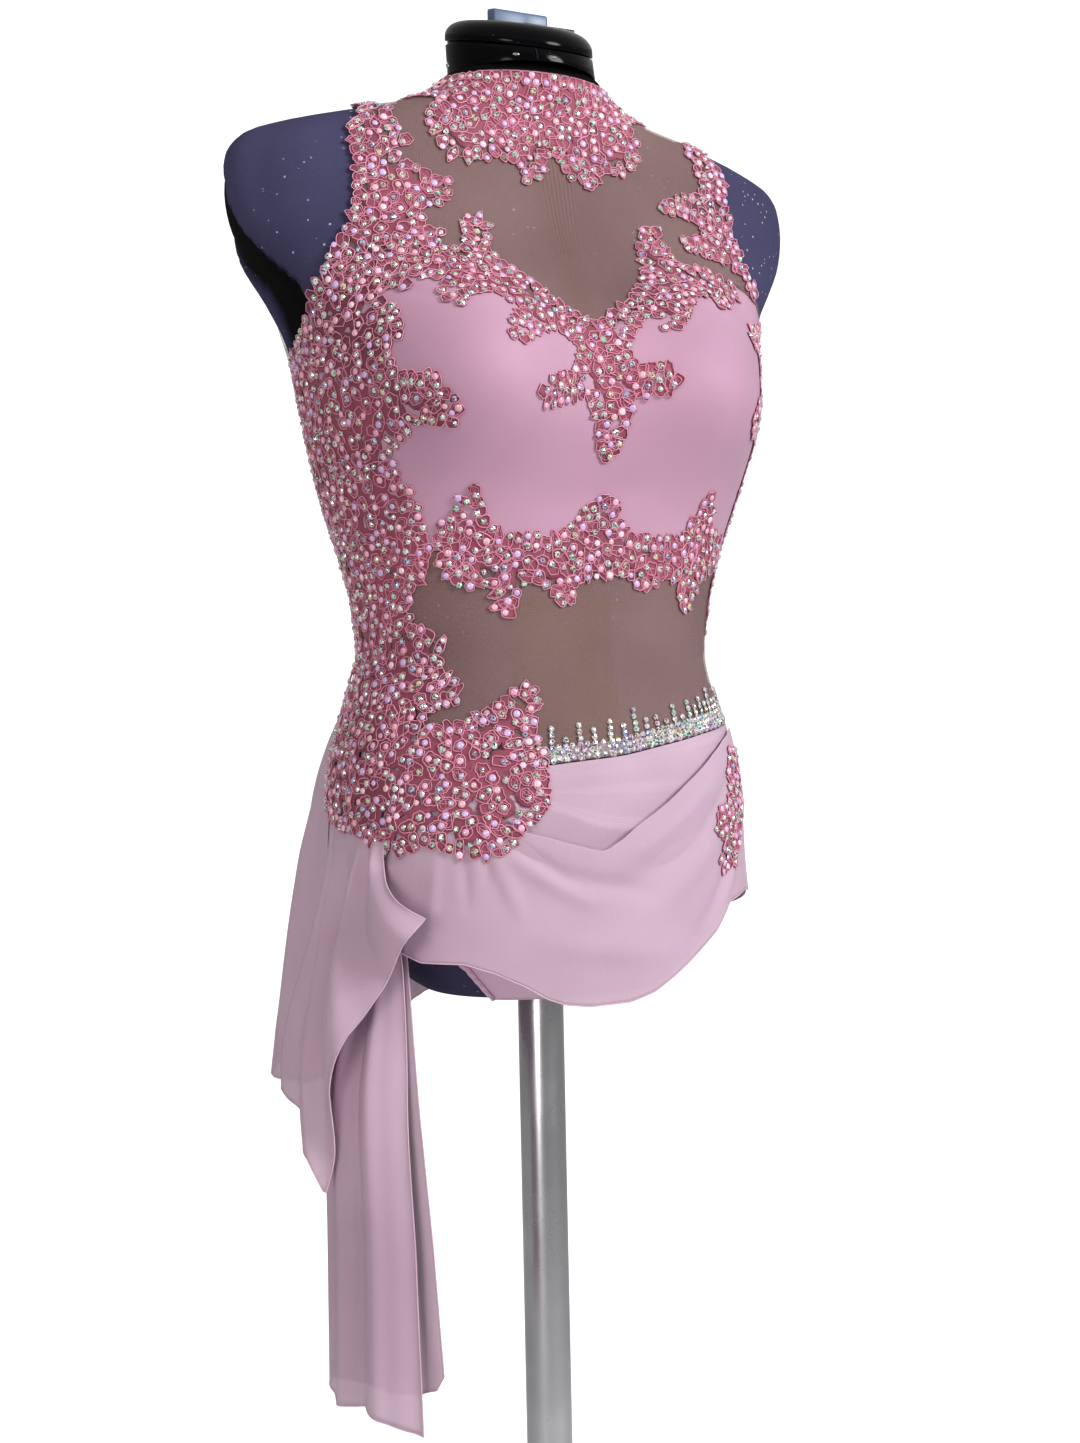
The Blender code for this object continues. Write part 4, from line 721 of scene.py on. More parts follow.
def places(tree):
    """The place on the object, and the flat place on the cloth."""
    node = put(tree, "ShaderNodeTexCoord")
    return node.outputs["Object"], node.outputs["UV"]


def placed(tree, group, inputs):
    """A node group with its inputs."""
    return put(tree, "ShaderNodeGroup", inputs, node_tree=group)


def dyed(tree, spot, light, dark, size=9.0, fine=0.3):
    """The uneven dye; size is the scale of its slow change, in cells for a metre."""
    return placed(tree, DRIFT, {
        "Place": spot, "Light": light, "Dark": dark, "Size": size, "Fine share": fine})


def lint(tree, spot, cells, size, share):
    """A mask of specks; share is how many of the cells hold one."""
    values = {"Place": spot, "Cells per metre": cells, "Size": size, "Share": share}
    return placed(tree, LINT, values).outputs[0]


def feed(tree, shader, name, output):
    """Links an output to one of the shader's inputs."""
    tree.links.new(output, shader.inputs[name])


def bumped(tree, shader, height, strength, distance):
    """Gives the shader a relief from a height."""
    relief = put(tree, "ShaderNodeBump", {"Height": height, "Strength": strength, "Distance": distance})
    feed(tree, shader, "Normal", relief.outputs[0])


def rgb(red, green, blue):
    """A colour from its 0 to 255 screen values."""
    made = []
    for value in (red, green, blue):
        share = value / 255
        made.append(share / 12.92 if share <= 0.04045 else ((share + 0.055) / 1.055) ** 2.4)
    return (*made, 1.0)


def cloth_material(name, light, dark, threads, bump, rough, alpha=None, **sockets):
    """Woven or knitted cloth: uneven dye, threads in the bump and, where it is sheer, gaps between them."""
    made, tree, shader = material(name, Roughness=rough, **sockets)
    spot, flat = places(tree)
    dye = dyed(tree, spot, light, dark)
    threaded = placed(tree, WEAVE, {"Place": flat, "Threads per metre": threads})
    feed(tree, shader, "Base Color", dye.outputs["Colour"])
    bumped(tree, shader, threaded.outputs["Height"], bump, 0.0003)
    if alpha:
        solid, open_share = alpha
        sheer = put(tree, "ShaderNodeMapRange", {
            0: threaded.outputs["Gaps"], 1: 0.15, 2: 0.85, 3: solid, 4: open_share})
        feed(tree, shader, "Alpha", sheer.outputs[0])
    return made


MESH_CLOTH = cloth_material(
    "taupe_mesh", rgb(160, 126, 118), rgb(136, 103, 96), 1300.0, 0.25, 0.7, (0.42, 0.24), Sheen_Weight=0.06,
)
SATIN = cloth_material(
    "rose_satin", rgb(184, 143, 165), rgb(170, 130, 153), 2400.0, 0.12, 0.6, Sheen_Weight=0.16,
    Sheen_Roughness=0.45, Specular_IOR_Level=0.22,
)
CHIFFON = cloth_material(
    "pink_chiffon", rgb(202, 174, 192), rgb(185, 157, 175), 1500.0, 0.18, 0.7, (0.9, 0.68),
    Sheen_Weight=0.16, Sheen_Roughness=0.4, Specular_IOR_Level=0.3,
)
BRIEF = cloth_material(
    "pink_binding", rgb(214, 174, 200), rgb(200, 160, 186), 2000.0, 0.2, 0.58, Sheen_Weight=0.2,
)
LACE_NET = cloth_material(
    "corded_lace_net", rgb(150, 62, 86), rgb(94, 34, 54), 1500.0, 0.35, 0.62, Sheen_Weight=0.15,
)
CRYSTAL_BACK = cloth_material(
    "crystal_backing", rgb(150, 128, 138), rgb(116, 96, 106), 1400.0, 0.3, 0.55, Sheen_Weight=0.05,
)


def cord_material(name, light, dark, rough):
    """Twisted yarn, a little glossy, with an uneven dye."""
    made, tree, shader = material(name, Roughness=rough, Sheen_Weight=0.3, Specular_IOR_Level=0.6)
    spot, _ = places(tree)
    dye = dyed(tree, spot, light, dark, 60.0, 0.45)
    feed(tree, shader, "Base Color", dye.outputs["Colour"])
    twist = put(tree, "ShaderNodeTexNoise", {"Vector": spot, "Scale": 2600.0, "Detail": 1.0})
    bumped(tree, shader, twist.outputs[0], 0.3, 0.0002)
    return made


CORD = cord_material("lace_cord", rgb(228, 148, 174), rgb(194, 106, 134), 0.42)
HEM = cord_material("chiffon_hem", rgb(214, 178, 196), rgb(194, 158, 178), 0.62)
THREAD = cord_material("sewing_thread", rgb(214, 170, 188), rgb(182, 136, 156), 0.5)


def stone_material(name, rough, metal, **sockets):
    """Cut stones and pearls take their colour from the attribute that is painted on each facet; on the
    crystals it holds painted glints and painted reflections.
    """
    made, tree, shader = material(name, Roughness=rough, Metallic=metal, **sockets)
    spot, _ = places(tree)
    tone = put(tree, "ShaderNodeAttribute", None, attribute_name="stone_colour_and_reflections", attribute_type="GEOMETRY")
    cloud = put(tree, "ShaderNodeTexNoise", {"Vector": spot, "Scale": 420.0, "Detail": 1.0})
    shade = put(tree, "ShaderNodeMapRange", {0: cloud.outputs[0], 1: 0.3, 2: 0.7, 3: 0.86, 4: 1.0})
    soft = mixed(tree, 1.0, tone.outputs["Color"], shade.outputs[0], "MULTIPLY")
    feed(tree, shader, "Base Color", soft)
    return made


CRYSTAL = stone_material("crystal_trim", 0.09, 0.4, Coat_Weight=1.0, Coat_Roughness=0.03)
PEARL = stone_material("lace_pearls", 0.22, 0.0, Coat_Weight=0.7, Coat_Roughness=0.08)


def knit_material():
    """The form's knit cover; its shade attribute turns it towards black: painted shade in the gaps behind
    the arm plates, and the form's darker seam, middle and neck strip.
    """
    made, tree, shader = material("violet_knit", Roughness=0.92, Specular_IOR_Level=0.08)
    spot, flat = places(tree)
    dye = dyed(tree, spot, rgb(69, 67, 97), rgb(50, 48, 73), 7.0, 0.4)
    patchy = put(tree, "ShaderNodeTexNoise", {"Vector": spot, "Scale": 16.0})
    dusty = put(tree, "ShaderNodeMapRange", {0: patchy.outputs[0], 1: 0.4, 2: 0.58})
    specks = sums(tree, "MAXIMUM", lint(tree, spot, 240.0, 0.19, 0.22), lint(tree, spot, 80.0, 0.09, 0.5))
    pale = sums(tree, "MULTIPLY", sums(tree, "MULTIPLY", specks, 0.9), dusty.outputs[0])
    cover = mixed(tree, pale, dye.outputs[0], rgb(170, 160, 176))
    shade = put(tree, "ShaderNodeAttribute", None, attribute_name="shade", attribute_type="GEOMETRY")
    # black mixed in by the shade attribute: painted shade in the arm gaps, and the form's own darker seam,
    # middle and neck strip
    feed(tree, shader, "Base Color", mixed(tree, shade.outputs["Fac"], cover, rgb(4, 4, 5)))
    ribs = placed(tree, WEAVE, {"Place": flat, "Threads per metre": 620.0, "Slack": 0.6})
    bumped(tree, shader, ribs.outputs["Height"], 0.35, 0.0004)
    return made


def hard_material(name, light, dark, rough, metal=0.0, dust=0.0, **sockets):
    """Gloss or satin hard parts with faint smears in the gloss and a little dust."""
    made, tree, shader = material(name, Metallic=metal, **sockets)
    spot, _ = places(tree)
    dye = dyed(tree, spot, light, dark, 14.0, 0.2)
    veil = sums(tree, "MULTIPLY", lint(tree, spot, 420.0, 0.12, dust), 0.35)
    feed(tree, shader, "Base Color", mixed(tree, veil, dye.outputs[0], rgb(150, 146, 150)))
    gloss = put(tree, "ShaderNodeMapRange", {0: dye.outputs["Mask"], 3: rough * 0.7, 4: rough * 1.35})
    feed(tree, shader, "Roughness", gloss.outputs[0])
    return made


KNIT = knit_material()
BLACK_CAP = hard_material(
    "gloss_black", rgb(3, 3, 5), rgb(6, 6, 8), 0.1, dust=0.05, Specular_IOR_Level=0.07)
BLUE_KNOB = hard_material("blue_grey_knob", rgb(84, 104, 134), rgb(66, 86, 116), 0.42, dust=0.05)
STEEL = hard_material("satin_steel", rgb(206, 206, 208), rgb(180, 180, 184), 0.28, 1.0)
BASE_PAINT = hard_material("black_paint", rgb(32, 32, 34), rgb(24, 24, 26), 0.42, dust=0.05)


# Meshes


def in_scene(name, data):
    obj = bpy.data.objects.new(name, data)
    bpy.context.scene.collection.objects.link(obj)
    return obj


def add_mesh(name, vertices, faces, look, rounded=True, flat=None):
    """A mesh with its look; flat is each vertex's place on the cloth in metres."""
    mesh = bpy.data.meshes.new(name)
    mesh.from_pydata(np.asarray(vertices, float).tolist(), [], faces)
    mesh.update()
    if flat is not None:
        layer = mesh.uv_layers.new(name="cloth")
        corners = np.empty(len(mesh.loops), np.int32)
        mesh.loops.foreach_get("vertex_index", corners)
        layer.data.foreach_set("uv", np.asarray(flat, np.float32)[corners].ravel())
    mesh.materials.append(look)
    mesh.polygons.foreach_set("use_smooth", [rounded] * len(mesh.polygons))
    return in_scene(name, mesh)


def thickened(obj, wall, side=-1.0):
    """Gives a sheet its wall: below it, or half on each side where side is 0."""
    finish = obj.modifiers.new("cloth wall", "SOLIDIFY")
    finish.thickness = wall
    finish.offset = side
    return obj


def turned_left(spots, triangles):
    """The triangles wound so that they face out."""
    made = []
    for a, b, c in triangles:
        (ax, ay), (bx, by), (cx, cy) = spots[a], spots[b], spots[c]
        left = (bx - ax) * (cy - ay) - (by - ay) * (cx - ax) > 0
        made.append((a, b, c) if left else (a, c, b))
    return made


def triangles_in(spots, loops, near):
    """The spots and triangles that fill closed loops of spot numbers."""
    found = delaunay_2d_cdt(spots, [], loops, 0, near)
    return found[0], [tuple(face) for face, source in zip(found[2], found[5]) if source]


def filled(loops, step_a=0.0, step_h=0.0):
    """Flat spots and triangles that cover closed loops of (angle, height), with a grid of spots inside."""
    spots, faces = [], []
    for loop in loops:
        turned_area = sum(a * k - b * h for (a, h), (b, k) in zip(loop, loop[1:] + loop[:1]))
        loop = loop if turned_area > 0 else loop[::-1]
        faces.append(list(range(len(spots), len(spots) + len(loop))))
        spots += [Vector((a * METRES_PER_DEGREE, h)) for a, h in loop]
    if step_a:
        low_a, high_a = min(a for a, _ in loops[0]), max(a for a, _ in loops[0])
        low_h, high_h = min(h for _, h in loops[0]), max(h for _, h in loops[0])
        for h in np.arange(low_h + step_h / 2, high_h, step_h):
            for a in np.arange(low_a + step_a / 2, high_a, step_a):
                spots.append(Vector((float(a) * METRES_PER_DEGREE, float(h))))
    found, kept = triangles_in(spots, faces, 1e-5)
    used = sorted({i for t in kept for i in t})
    order = {old: new for new, old in enumerate(used)}
    flat = np.array([(found[i].x, found[i].y) for i in used])
    return flat, turned_left(flat, [tuple(order[i] for i in t) for t in kept])


def unrolled(flat):
    """Angle and height of spots that are given in metres on the cloth."""
    return flat[:, 0] / METRES_PER_DEGREE, flat[:, 1]


def finer(rows, step=0.004):
    """The rows with extra spots, so that no run is longer than the step."""
    made = []
    for (a0, h0), (a1, h1) in zip(rows, rows[1:]):
        parts = max(1, int(math.hypot((a1 - a0) * METRES_PER_DEGREE, h1 - h0) / step))
        made += [(a0 + (a1 - a0) * k / parts, h0 + (h1 - h0) * k / parts) for k in range(parts)]
    return made + [rows[-1]]


def region(name, outline, out, look, step_a, step_h, creases=(), wall=CLOTH_WALL):
    """A cloth shell that fills an outline on the body."""
    flat, triangles = filled([finer(outline + outline[:1])[:-1]], step_a, step_h)
    angle, height = unrolled(flat)
    points = on_body(angle, height, out + creased(angle, height, creases))
    return thickened(add_mesh(name, points, triangles, look, flat=flat), wall)


def sheet_grid(name, place, across, down, look, size):
    """A cloth shell from a function of two shares; size is the cut's width and length."""
    u, v = np.meshgrid(across, down)
    points = place(u, v).reshape(-1, 3)
    flat = np.stack([u * size[0], v * size[1]], -1).reshape(-1, 2)
    wide = len(across)
    faces = [
        (j * wide + i, j * wide + i + 1, (j + 1) * wide + i + 1, (j + 1) * wide + i)
        for j in range(len(down) - 1)
        for i in range(wide - 1)
    ]
    return thickened(add_mesh(name, points, faces, look, flat=flat), CLOTH_WALL, 0.0)


def ring_points(rows, count, shift=0.0):
    """Points round the axis for each row of (radius, z)."""
    turns = [2 * math.pi * (i + shift) / count for i in range(count)]
    return [(r * math.cos(t), r * math.sin(t), z) for r, z in rows for t in turns]


def ring_faces(rings, count):
    """Faces between stacked rings."""
    return [
        (k * count + i, k * count + j, (k + 1) * count + j, (k + 1) * count + i)
        for k in range(rings - 1)
        for i, j in round_pairs(count)
    ]


def round_pairs(count):
    return [(i, (i + 1) % count) for i in range(count)]


def tube_faces(rings, count):
    """Faces of stacked rings that the two points after them close below and above."""
    low, last = rings * count, (rings - 1) * count
    faces = ring_faces(rings, count)
    for i, j in round_pairs(count):
        faces += [(low, j, i), (low + 1, last + i, last + j)]
    return faces


def turned(name, profile, look, steps=96):
    """A turned part from (radius, z) rows, closed on the axis at both ends."""
    ends = [(0.0, 0.0, profile[0][1]), (0.0, 0.0, profile[-1][1])]
    vertices = ring_points(profile[1:-1], steps) + ends
    return add_mesh(name, vertices, tube_faces(len(profile) - 2, steps), look)


def softened(rows, radius, steps=3):
    """The profile with its inner corners rounded."""
    made = [rows[0]]
    for before, here, after in zip(rows, rows[1:], rows[2:]):
        a, b, c = Vector(before), Vector(here), Vector(after)
        reach = min(radius, (a - b).length * 0.45, (c - b).length * 0.45)
        if reach < 1e-5:
            made.append(here)
            continue
        p, q = b + (a - b).normalized() * reach, b + (c - b).normalized() * reach
        for k in range(steps + 1):
            t = k / steps
            made.append(tuple(p * (1 - t) ** 2 + b * 2 * t * (1 - t) + q * t * t))
    return made + [rows[-1]]


# Geometry Nodes for cords, stitches and stones


def growing_tree(name, inputs):
    """A Geometry Nodes tree from a mesh to a mesh with the look that it is given."""
    mesh = "NodeSocketGeometry"
    inputs = [("Geometry", mesh, None)] + inputs + [("Look", "NodeSocketMaterial", None)]
    tree, start, end = node_group(name, "GeometryNodeTree", inputs, [("Geometry", mesh)])
    return tree, start.outputs, end


def finish_tree(tree, given, end, made):
    """Ends the tree with real geometry that wears the look."""
    real = put(tree, "GeometryNodeRealizeInstances", {"Geometry": made.outputs[0]})
    final = put(tree, "GeometryNodeSetMaterial", {"Geometry": real.outputs[0], "Material": given["Look"]})
    tree.links.new(final.outputs[0], end.inputs[0])
    return tree


def cord_tree():
    """Round cords along every run of edges."""
    tree, given, end = growing_tree("laid cords", [
        ("Radius", FLOAT, 0.0005), ("Sides", "NodeSocketInt", 5)])
    runs = put(tree, "GeometryNodeMeshToCurve", {"Mesh": given["Geometry"]})
    ring = put(tree, "GeometryNodeCurvePrimitiveCircle", {
        "Resolution": given["Sides"], "Radius": given["Radius"]})
    tubes = put(tree, "GeometryNodeCurveToMesh", {
        "Curve": runs.outputs[0], "Profile Curve": ring.outputs[0], "Fill Caps": True})
    soft = put(tree, "GeometryNodeSetShadeSmooth", {"Geometry": tubes.outputs[0]})
    return finish_tree(tree, given, end, soft)


def stone_tree():
    """One stone on every point, standing on its facing, turned and sized by the point's attributes."""
    tree, given, end = growing_tree("set stones", [("Stone", "NodeSocketObject", None)])
    cut = put(tree, "GeometryNodeObjectInfo", {"Object": given["Stone"]})
    facing, size, turn = (
        put(tree, "GeometryNodeInputNamedAttribute", {"Name": name}, data_type=kind).outputs[0]
        for name, kind in (("facing", "FLOAT_VECTOR"), ("size", "FLOAT_VECTOR"), ("turn", "FLOAT")))
    stood = put(tree, "FunctionNodeAlignRotationToVector", {"Vector": facing}, axis="Z")
    spin = put(tree, "FunctionNodeAxisAngleToRotation", {"Axis": (0.0, 0.0, 1.0), "Angle": turn})
    both = {0: stood.outputs[0], 1: spin.outputs[0]}
    both = put(tree, "FunctionNodeRotateRotation", both, rotation_space="LOCAL")
    points = put(tree, "GeometryNodeMeshToPoints", {"Mesh": given["Geometry"]})
    laid = put(tree, "GeometryNodeInstanceOnPoints", {
        "Points": points.outputs[0], "Instance": cut.outputs["Geometry"],
        "Rotation": both.outputs[0], "Scale": size})
    return finish_tree(tree, given, end, laid)


CORDS, STONES = cord_tree(), stone_tree()


def grown(name, source, tree, values):
    """The plain mesh that a tree makes of the source, which is then removed."""
    modifier = source.modifiers.new("grow", "NODES")
    modifier.node_group = tree
    for item in tree.interface.items_tree:
        if item.in_out == "INPUT" and item.name in values:
            modifier[item.identifier] = values[item.name]
    graph = bpy.context.evaluated_depsgraph_get()
    mesh = bpy.data.meshes.new_from_object(source.evaluated_get(graph))
    mesh.name = name
    bpy.data.objects.remove(source, do_unlink=True)
    return in_scene(name, mesh)


def corded(name, runs, radius, look, sides=5):
    """Cords along runs of points; a run is (points, closed)."""
    vertices, edges = [], []
    for points, closed in runs:
        first = len(vertices)
        vertices += np.asarray(points, float).tolist()
        count = len(points)
        edges += [(first + i, first + i + 1) for i in range(count - 1)]
        if closed:
            edges.append((first + count - 1, first))
    mesh = bpy.data.meshes.new(name)
    mesh.from_pydata(vertices, edges, [])
    path = in_scene(name + "_path", mesh)
    return grown(name, path, CORDS, {"Radius": radius, "Sides": sides, "Look": look})


def cut_stone():
    """A chaton: eight crown facets in two tiers, a small table and a short girdle."""
    count = 8
    vertices = ring_points([(1.0, 0.0), (1.0, 0.16)], count) + ring_points([(0.66, 0.62)], count, 0.5)
    vertices += ring_points([(0.3, 0.86)], count)
    faces = [tuple(reversed(range(count)))] + ring_faces(2, count)
    low, mid, top = count, 2 * count, 3 * count
    for i, j in round_pairs(count):
        faces += [(low + i, low + j, mid + i), (low + j, mid + j, mid + i)]
        faces += [(mid + i, mid + j, top + j), (mid + i, top + j, top + i)]
    return vertices, faces + [tuple(range(top, top + count))]


def domed_stone():
    """A flat-backed pearl."""
    rows, count = [(1.0, 0.0), (1.0, 0.3), (0.84, 0.68), (0.5, 0.96)], 9
    vertices = ring_points(rows, count) + [(0.0, 0.0, 1.06)]
    last = (len(rows) - 1) * count
    crown = [(last + i, last + j, len(vertices) - 1) for i, j in round_pairs(count)]
    return vertices, [tuple(reversed(range(count)))] + ring_faces(len(rows), count) + crown


# facet colours of the stones, the crystals' near-white and dark ones being painted glints and painted
# reflections; and the cast that tints each whole stone
CRYSTAL_TINTS_AND_REFLECTIONS = [
    rgb(250, 250, 250), rgb(226, 234, 226), rgb(214, 216, 206), rgb(84, 80, 84), rgb(196, 226, 212),
    rgb(246, 232, 190), rgb(240, 200, 222), rgb(204, 202, 226), rgb(252, 250, 250), rgb(150, 144, 150),
    rgb(66, 58, 64), rgb(118, 106, 116), rgb(255, 255, 255),
]
CRYSTAL_CASTS = [
    rgb(255, 255, 255), rgb(255, 255, 255), rgb(255, 252, 246), rgb(236, 250, 240), rgb(255, 234, 244),
    rgb(240, 226, 255), rgb(255, 244, 214), rgb(226, 255, 244), rgb(255, 255, 255), rgb(255, 236, 242),
    rgb(214, 250, 232), rgb(255, 255, 250), rgb(208, 214, 248),
]
PEARL_TONES = [
    rgb(232, 172, 196), rgb(220, 158, 184), rgb(206, 178, 222), rgb(196, 168, 214), rgb(240, 206, 222),
    rgb(214, 174, 210), rgb(224, 176, 184),
]


def stones(name, spots, shape, look, tones, casts, seed, rounded):
    """Stones on spots of (place, facing, width, depth), each facet painted from the tones, which for the
    crystals hold painted glints and painted reflections.
    """
    chance = np.random.default_rng(seed)
    vertices, faces = shape
    pattern = add_mesh("stone_pattern", vertices, faces, look, rounded)
    mesh = bpy.data.meshes.new(name)
    mesh.from_pydata([tuple(map(float, s[0])) for s in spots], [], [])
    for label, kind, field, values in (
        ("facing", "FLOAT_VECTOR", "vector", [s[1] for s in spots]),
        ("size", "FLOAT_VECTOR", "vector", [(s[2] / 2, s[2] / 2, s[3]) for s in spots]),
        ("turn", "FLOAT", "value", chance.uniform(0, 6.28, len(spots))),
    ):
        layer = mesh.attributes.new(label, kind, "POINT")
        layer.data.foreach_set(field, np.array(values, np.float32).ravel())
    obj = grown(name, in_scene(name + "_spots", mesh), STONES, {"Stone": pattern, "Look": look})
    bpy.data.objects.remove(pattern, do_unlink=True)
    for label in ("facing", "size", "turn"):
        if label in obj.data.attributes:
            obj.data.attributes.remove(obj.data.attributes[label])
    per_stone, count = len(faces), len(obj.data.polygons)
    tones, casts = np.array(tones), np.array(casts)
    cast = casts[chance.integers(0, len(casts), count // per_stone)]
    tone = tones[chance.integers(0, len(tones), count // per_stone if rounded else count)]
    tone = np.repeat(tone, per_stone, axis=0) if rounded else tone
    # on the crystals these facet colours include painted glints and painted reflections
    colours = tone * np.repeat(cast, per_stone, axis=0)
    totals = np.empty(count, np.int32)
    obj.data.polygons.foreach_get("loop_total", totals)
    paint = obj.data.color_attributes.new("stone_colour_and_reflections", "FLOAT_COLOR", "CORNER")
    paint.data.foreach_set("color", np.repeat(colours, totals, axis=0).astype(np.float32).ravel())
    return obj


# Holding each piece on the body


def hold(piece, slot, *nodes):
    """Every piece rides on the one body and may stand for a solid, whose part it hides; the slot is not
    used.
    """
    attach(piece, "root")
    if nodes:
        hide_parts(*nodes)


def cloth(piece, slot, nodes):
    """Holds a cloth piece like any other piece."""
    hold(piece, slot, *nodes)


# The dress form

# the gap behind each arm plate, a shallow groove painted black as painted shade: depth in metres, width in
# degrees, lowest and highest point
GAP_DEPTH, GAP_WIDTH, GAP_LOW, GAP_HIGH = 0.005, 24, 0.425, 0.578


def build_torso():
    """The knit torso with its arm gaps painted black as painted shade, and the form's darker middle that
    shows through the mesh.
    """
    heights = np.concatenate([
        np.linspace(0.0, 0.04, 9), np.linspace(0.048, 0.55, 72), np.linspace(0.556, 0.6, 14),
        np.linspace(0.603, TORSO_TOP, 9),
    ])
    angles = np.arange(0.0, 360.0, 2.5)
    grid_a, grid_h = np.meshgrid(angles, heights)
    skin = body(grid_a, grid_h)
    front = np.where(grid_a > 180, grid_a - 360, grid_a)
    away = np.abs(front) - table(ARM_GAP, grid_h)
    # the arm gaps: a shallow groove, with painted shade that turns the knit black inside it
    gap = smooth((away + 0.5) / 2) * smooth((GAP_WIDTH - away) / 4) * smooth((grid_h - GAP_LOW) / 0.02)
    gap = gap * smooth((GAP_HIGH - grid_h) / 0.012)
    points = (skin - normals(grid_a, grid_h) * (GAP_DEPTH * gap)[..., None]).reshape(-1, 3)
    seam = np.exp(-(((skin[..., 0] + 0.002) / 0.006) ** 2)) * (np.abs(front) < 60)
    middle = smooth((0.04 - np.abs(skin[..., 0] + 0.02)) / 0.008) * (np.abs(front) < 60)
    middle = middle * smooth((grid_h - 0.165) / 0.01) * smooth((0.268 - grid_h) / 0.008)
    neck = smooth((grid_h - COLLAR_TOP) / 0.001)
    # painted shade in the arm gaps, together with the form's darker seam, middle and neck strip
    shades = np.clip(gap + 0.8 * seam + 0.75 * middle + neck, 0, 1).ravel()
    points[:, 2] += FORM_BOTTOM
    flat = np.stack([grid_a * METRES_PER_DEGREE, grid_h], -1).reshape(-1, 2)
    points = np.vstack([points, [(0, 0, FORM_BOTTOM), (0, 0, FORM_BOTTOM + TORSO_TOP)]])
    flat = np.vstack([flat, [(0.4, 0.0), (0.4, TORSO_TOP)]])
    torso = add_mesh("knit_torso", points, tube_faces(len(heights), len(angles)), KNIT, flat=flat)
    paint = torso.data.attributes.new("shade", "FLOAT", "POINT")
    paint.data.foreach_set("value", np.append(shades, (0.0, 0.0)).astype(np.float32))
    hold(torso, "violet_knit", "form_torso")


def leaned(point):
    """A point of the neck cap, sheared so that the cap leans to the front above the torso's top."""
    share = (point[2] - FORM_BOTTOM - TORSO_TOP - SEAM_GAP) / (NECK_RING_TOP - TORSO_TOP - SEAM_GAP)
    share = min(max(share, 0.0), 1.0)
    return (point[0] - NECK_SHIFT * share, point[1], point[2] + NECK_LEAN * point[1] * share)


def round_way(degrees):
    """The level direction at an angle from the front."""
    turn = math.radians(degrees)
    return Vector((math.sin(turn), -math.cos(turn), 0.0))


def softly(obj, width, segments):
    edge = obj.modifiers.new("soft edges", "BEVEL")
    edge.width, edge.segments, edge.limit_method = width, segments, "ANGLE"


# the lock knob, waisted in the middle: half its length and width, half its waist, its height
KNOB = (0.021, 0.006, 0.0052, 0.0103)
# the catch beside the knob: both ends of its length, its width, and its height about the lid's top
CATCH = ((-0.006, 0.033), (-0.024, -0.012), (-0.001, 0.0018))
# the neck cap's screws: angle, height
SCREWS = [(-100, 0.64), (-27.6, 0.64), (1.1, 0.6395), (100, 0.64), (180, 0.64)]
SCREW_SIZE, SCREW_RISE = 0.005, 0.0011
SLOT_REACH, SLOT_OUT, SLOT_RADIUS = 0.0013, 0.00112, 0.00022
JOINT_ANGLES, JOINT_RADIUS = (-12.0, 168.0), 0.00045


def knob_pieces(top):
    """The blue lock knob on the lid's top, and the catch beside it."""
    reach, half, waist, tall = KNOB
    outline = [(-reach, -half), (-0.004, -half), (0.0, -waist), (0.004, -half), (reach, -half)]
    outline += [(-x, -y) for x, y in outline]
    low, count = top + SEAM_GAP, len(outline)
    vertices = [(x, y, z) for z in (low, low + tall) for x, y in outline]
    faces = [tuple(reversed(range(count))), tuple(range(count, 2 * count))] + ring_faces(2, count)
    knob = add_mesh("lock_knob", vertices, faces, BLUE_KNOB)
    softly(knob, 0.0016, 3)
    hold(knob, "blue_grey_knob", "form_knob")
    (x0, x1), (y0, y1), levels = CATCH
    box = [(x, y, top + z) for z in levels for x, y in ((x0, y0), (x1, y0), (x1, y1), (x0, y1))]
    catch = add_mesh("knob_catch", box, ring_faces(2, 4) + [(3, 2, 1, 0), (4, 5, 6, 7)], BLACK_CAP, False)
    softly(catch, 0.0008, 2)
    hold(catch, "gloss_black")
    return [knob, catch]


def screw_pieces():
    """Cross-head screws and the joints of the two halves, on the neck ring."""
    screws, slots, up = [], [], Vector((0, 0, 1))
    for angle, height in SCREWS:
        out, side = round_way(angle), round_way(angle + 90)
        spot = up * (FORM_BOTTOM + height) + out * (NECK_RADIUS - 0.0004)
        screws.append((spot, out, SCREW_SIZE, SCREW_RISE))
        centre = spot + out * SLOT_OUT
        for run in (side + up * 0.4, up - side * 0.4):
            run = run.normalized() * SLOT_REACH
            slots.append(([centre - run, centre + run], False))
    plain, white = [rgb(200, 200, 200)], [rgb(255, 255, 255)]
    heads = stones("ring_screws", screws, domed_stone(), STEEL, plain, white, 1, True)
    crosses = corded("screw_slots", slots, SLOT_RADIUS, BLACK_CAP, 4)
    levels = [up * (FORM_BOTTOM + h) for h in np.linspace(TORSO_TOP + 0.001, NECK_RING_TOP - 0.0015, 8)]
    joints = [([round_way(a) * NECK_RADIUS + level for level in levels], False) for a in JOINT_ANGLES]
    seams = corded("ring_joints", joints, JOINT_RADIUS, BLACK_CAP, 6)
    hold(heads, "satin_steel")
    hold(crosses, "gloss_black")
    hold(seams, "gloss_black")
    return [heads, crosses, seams]


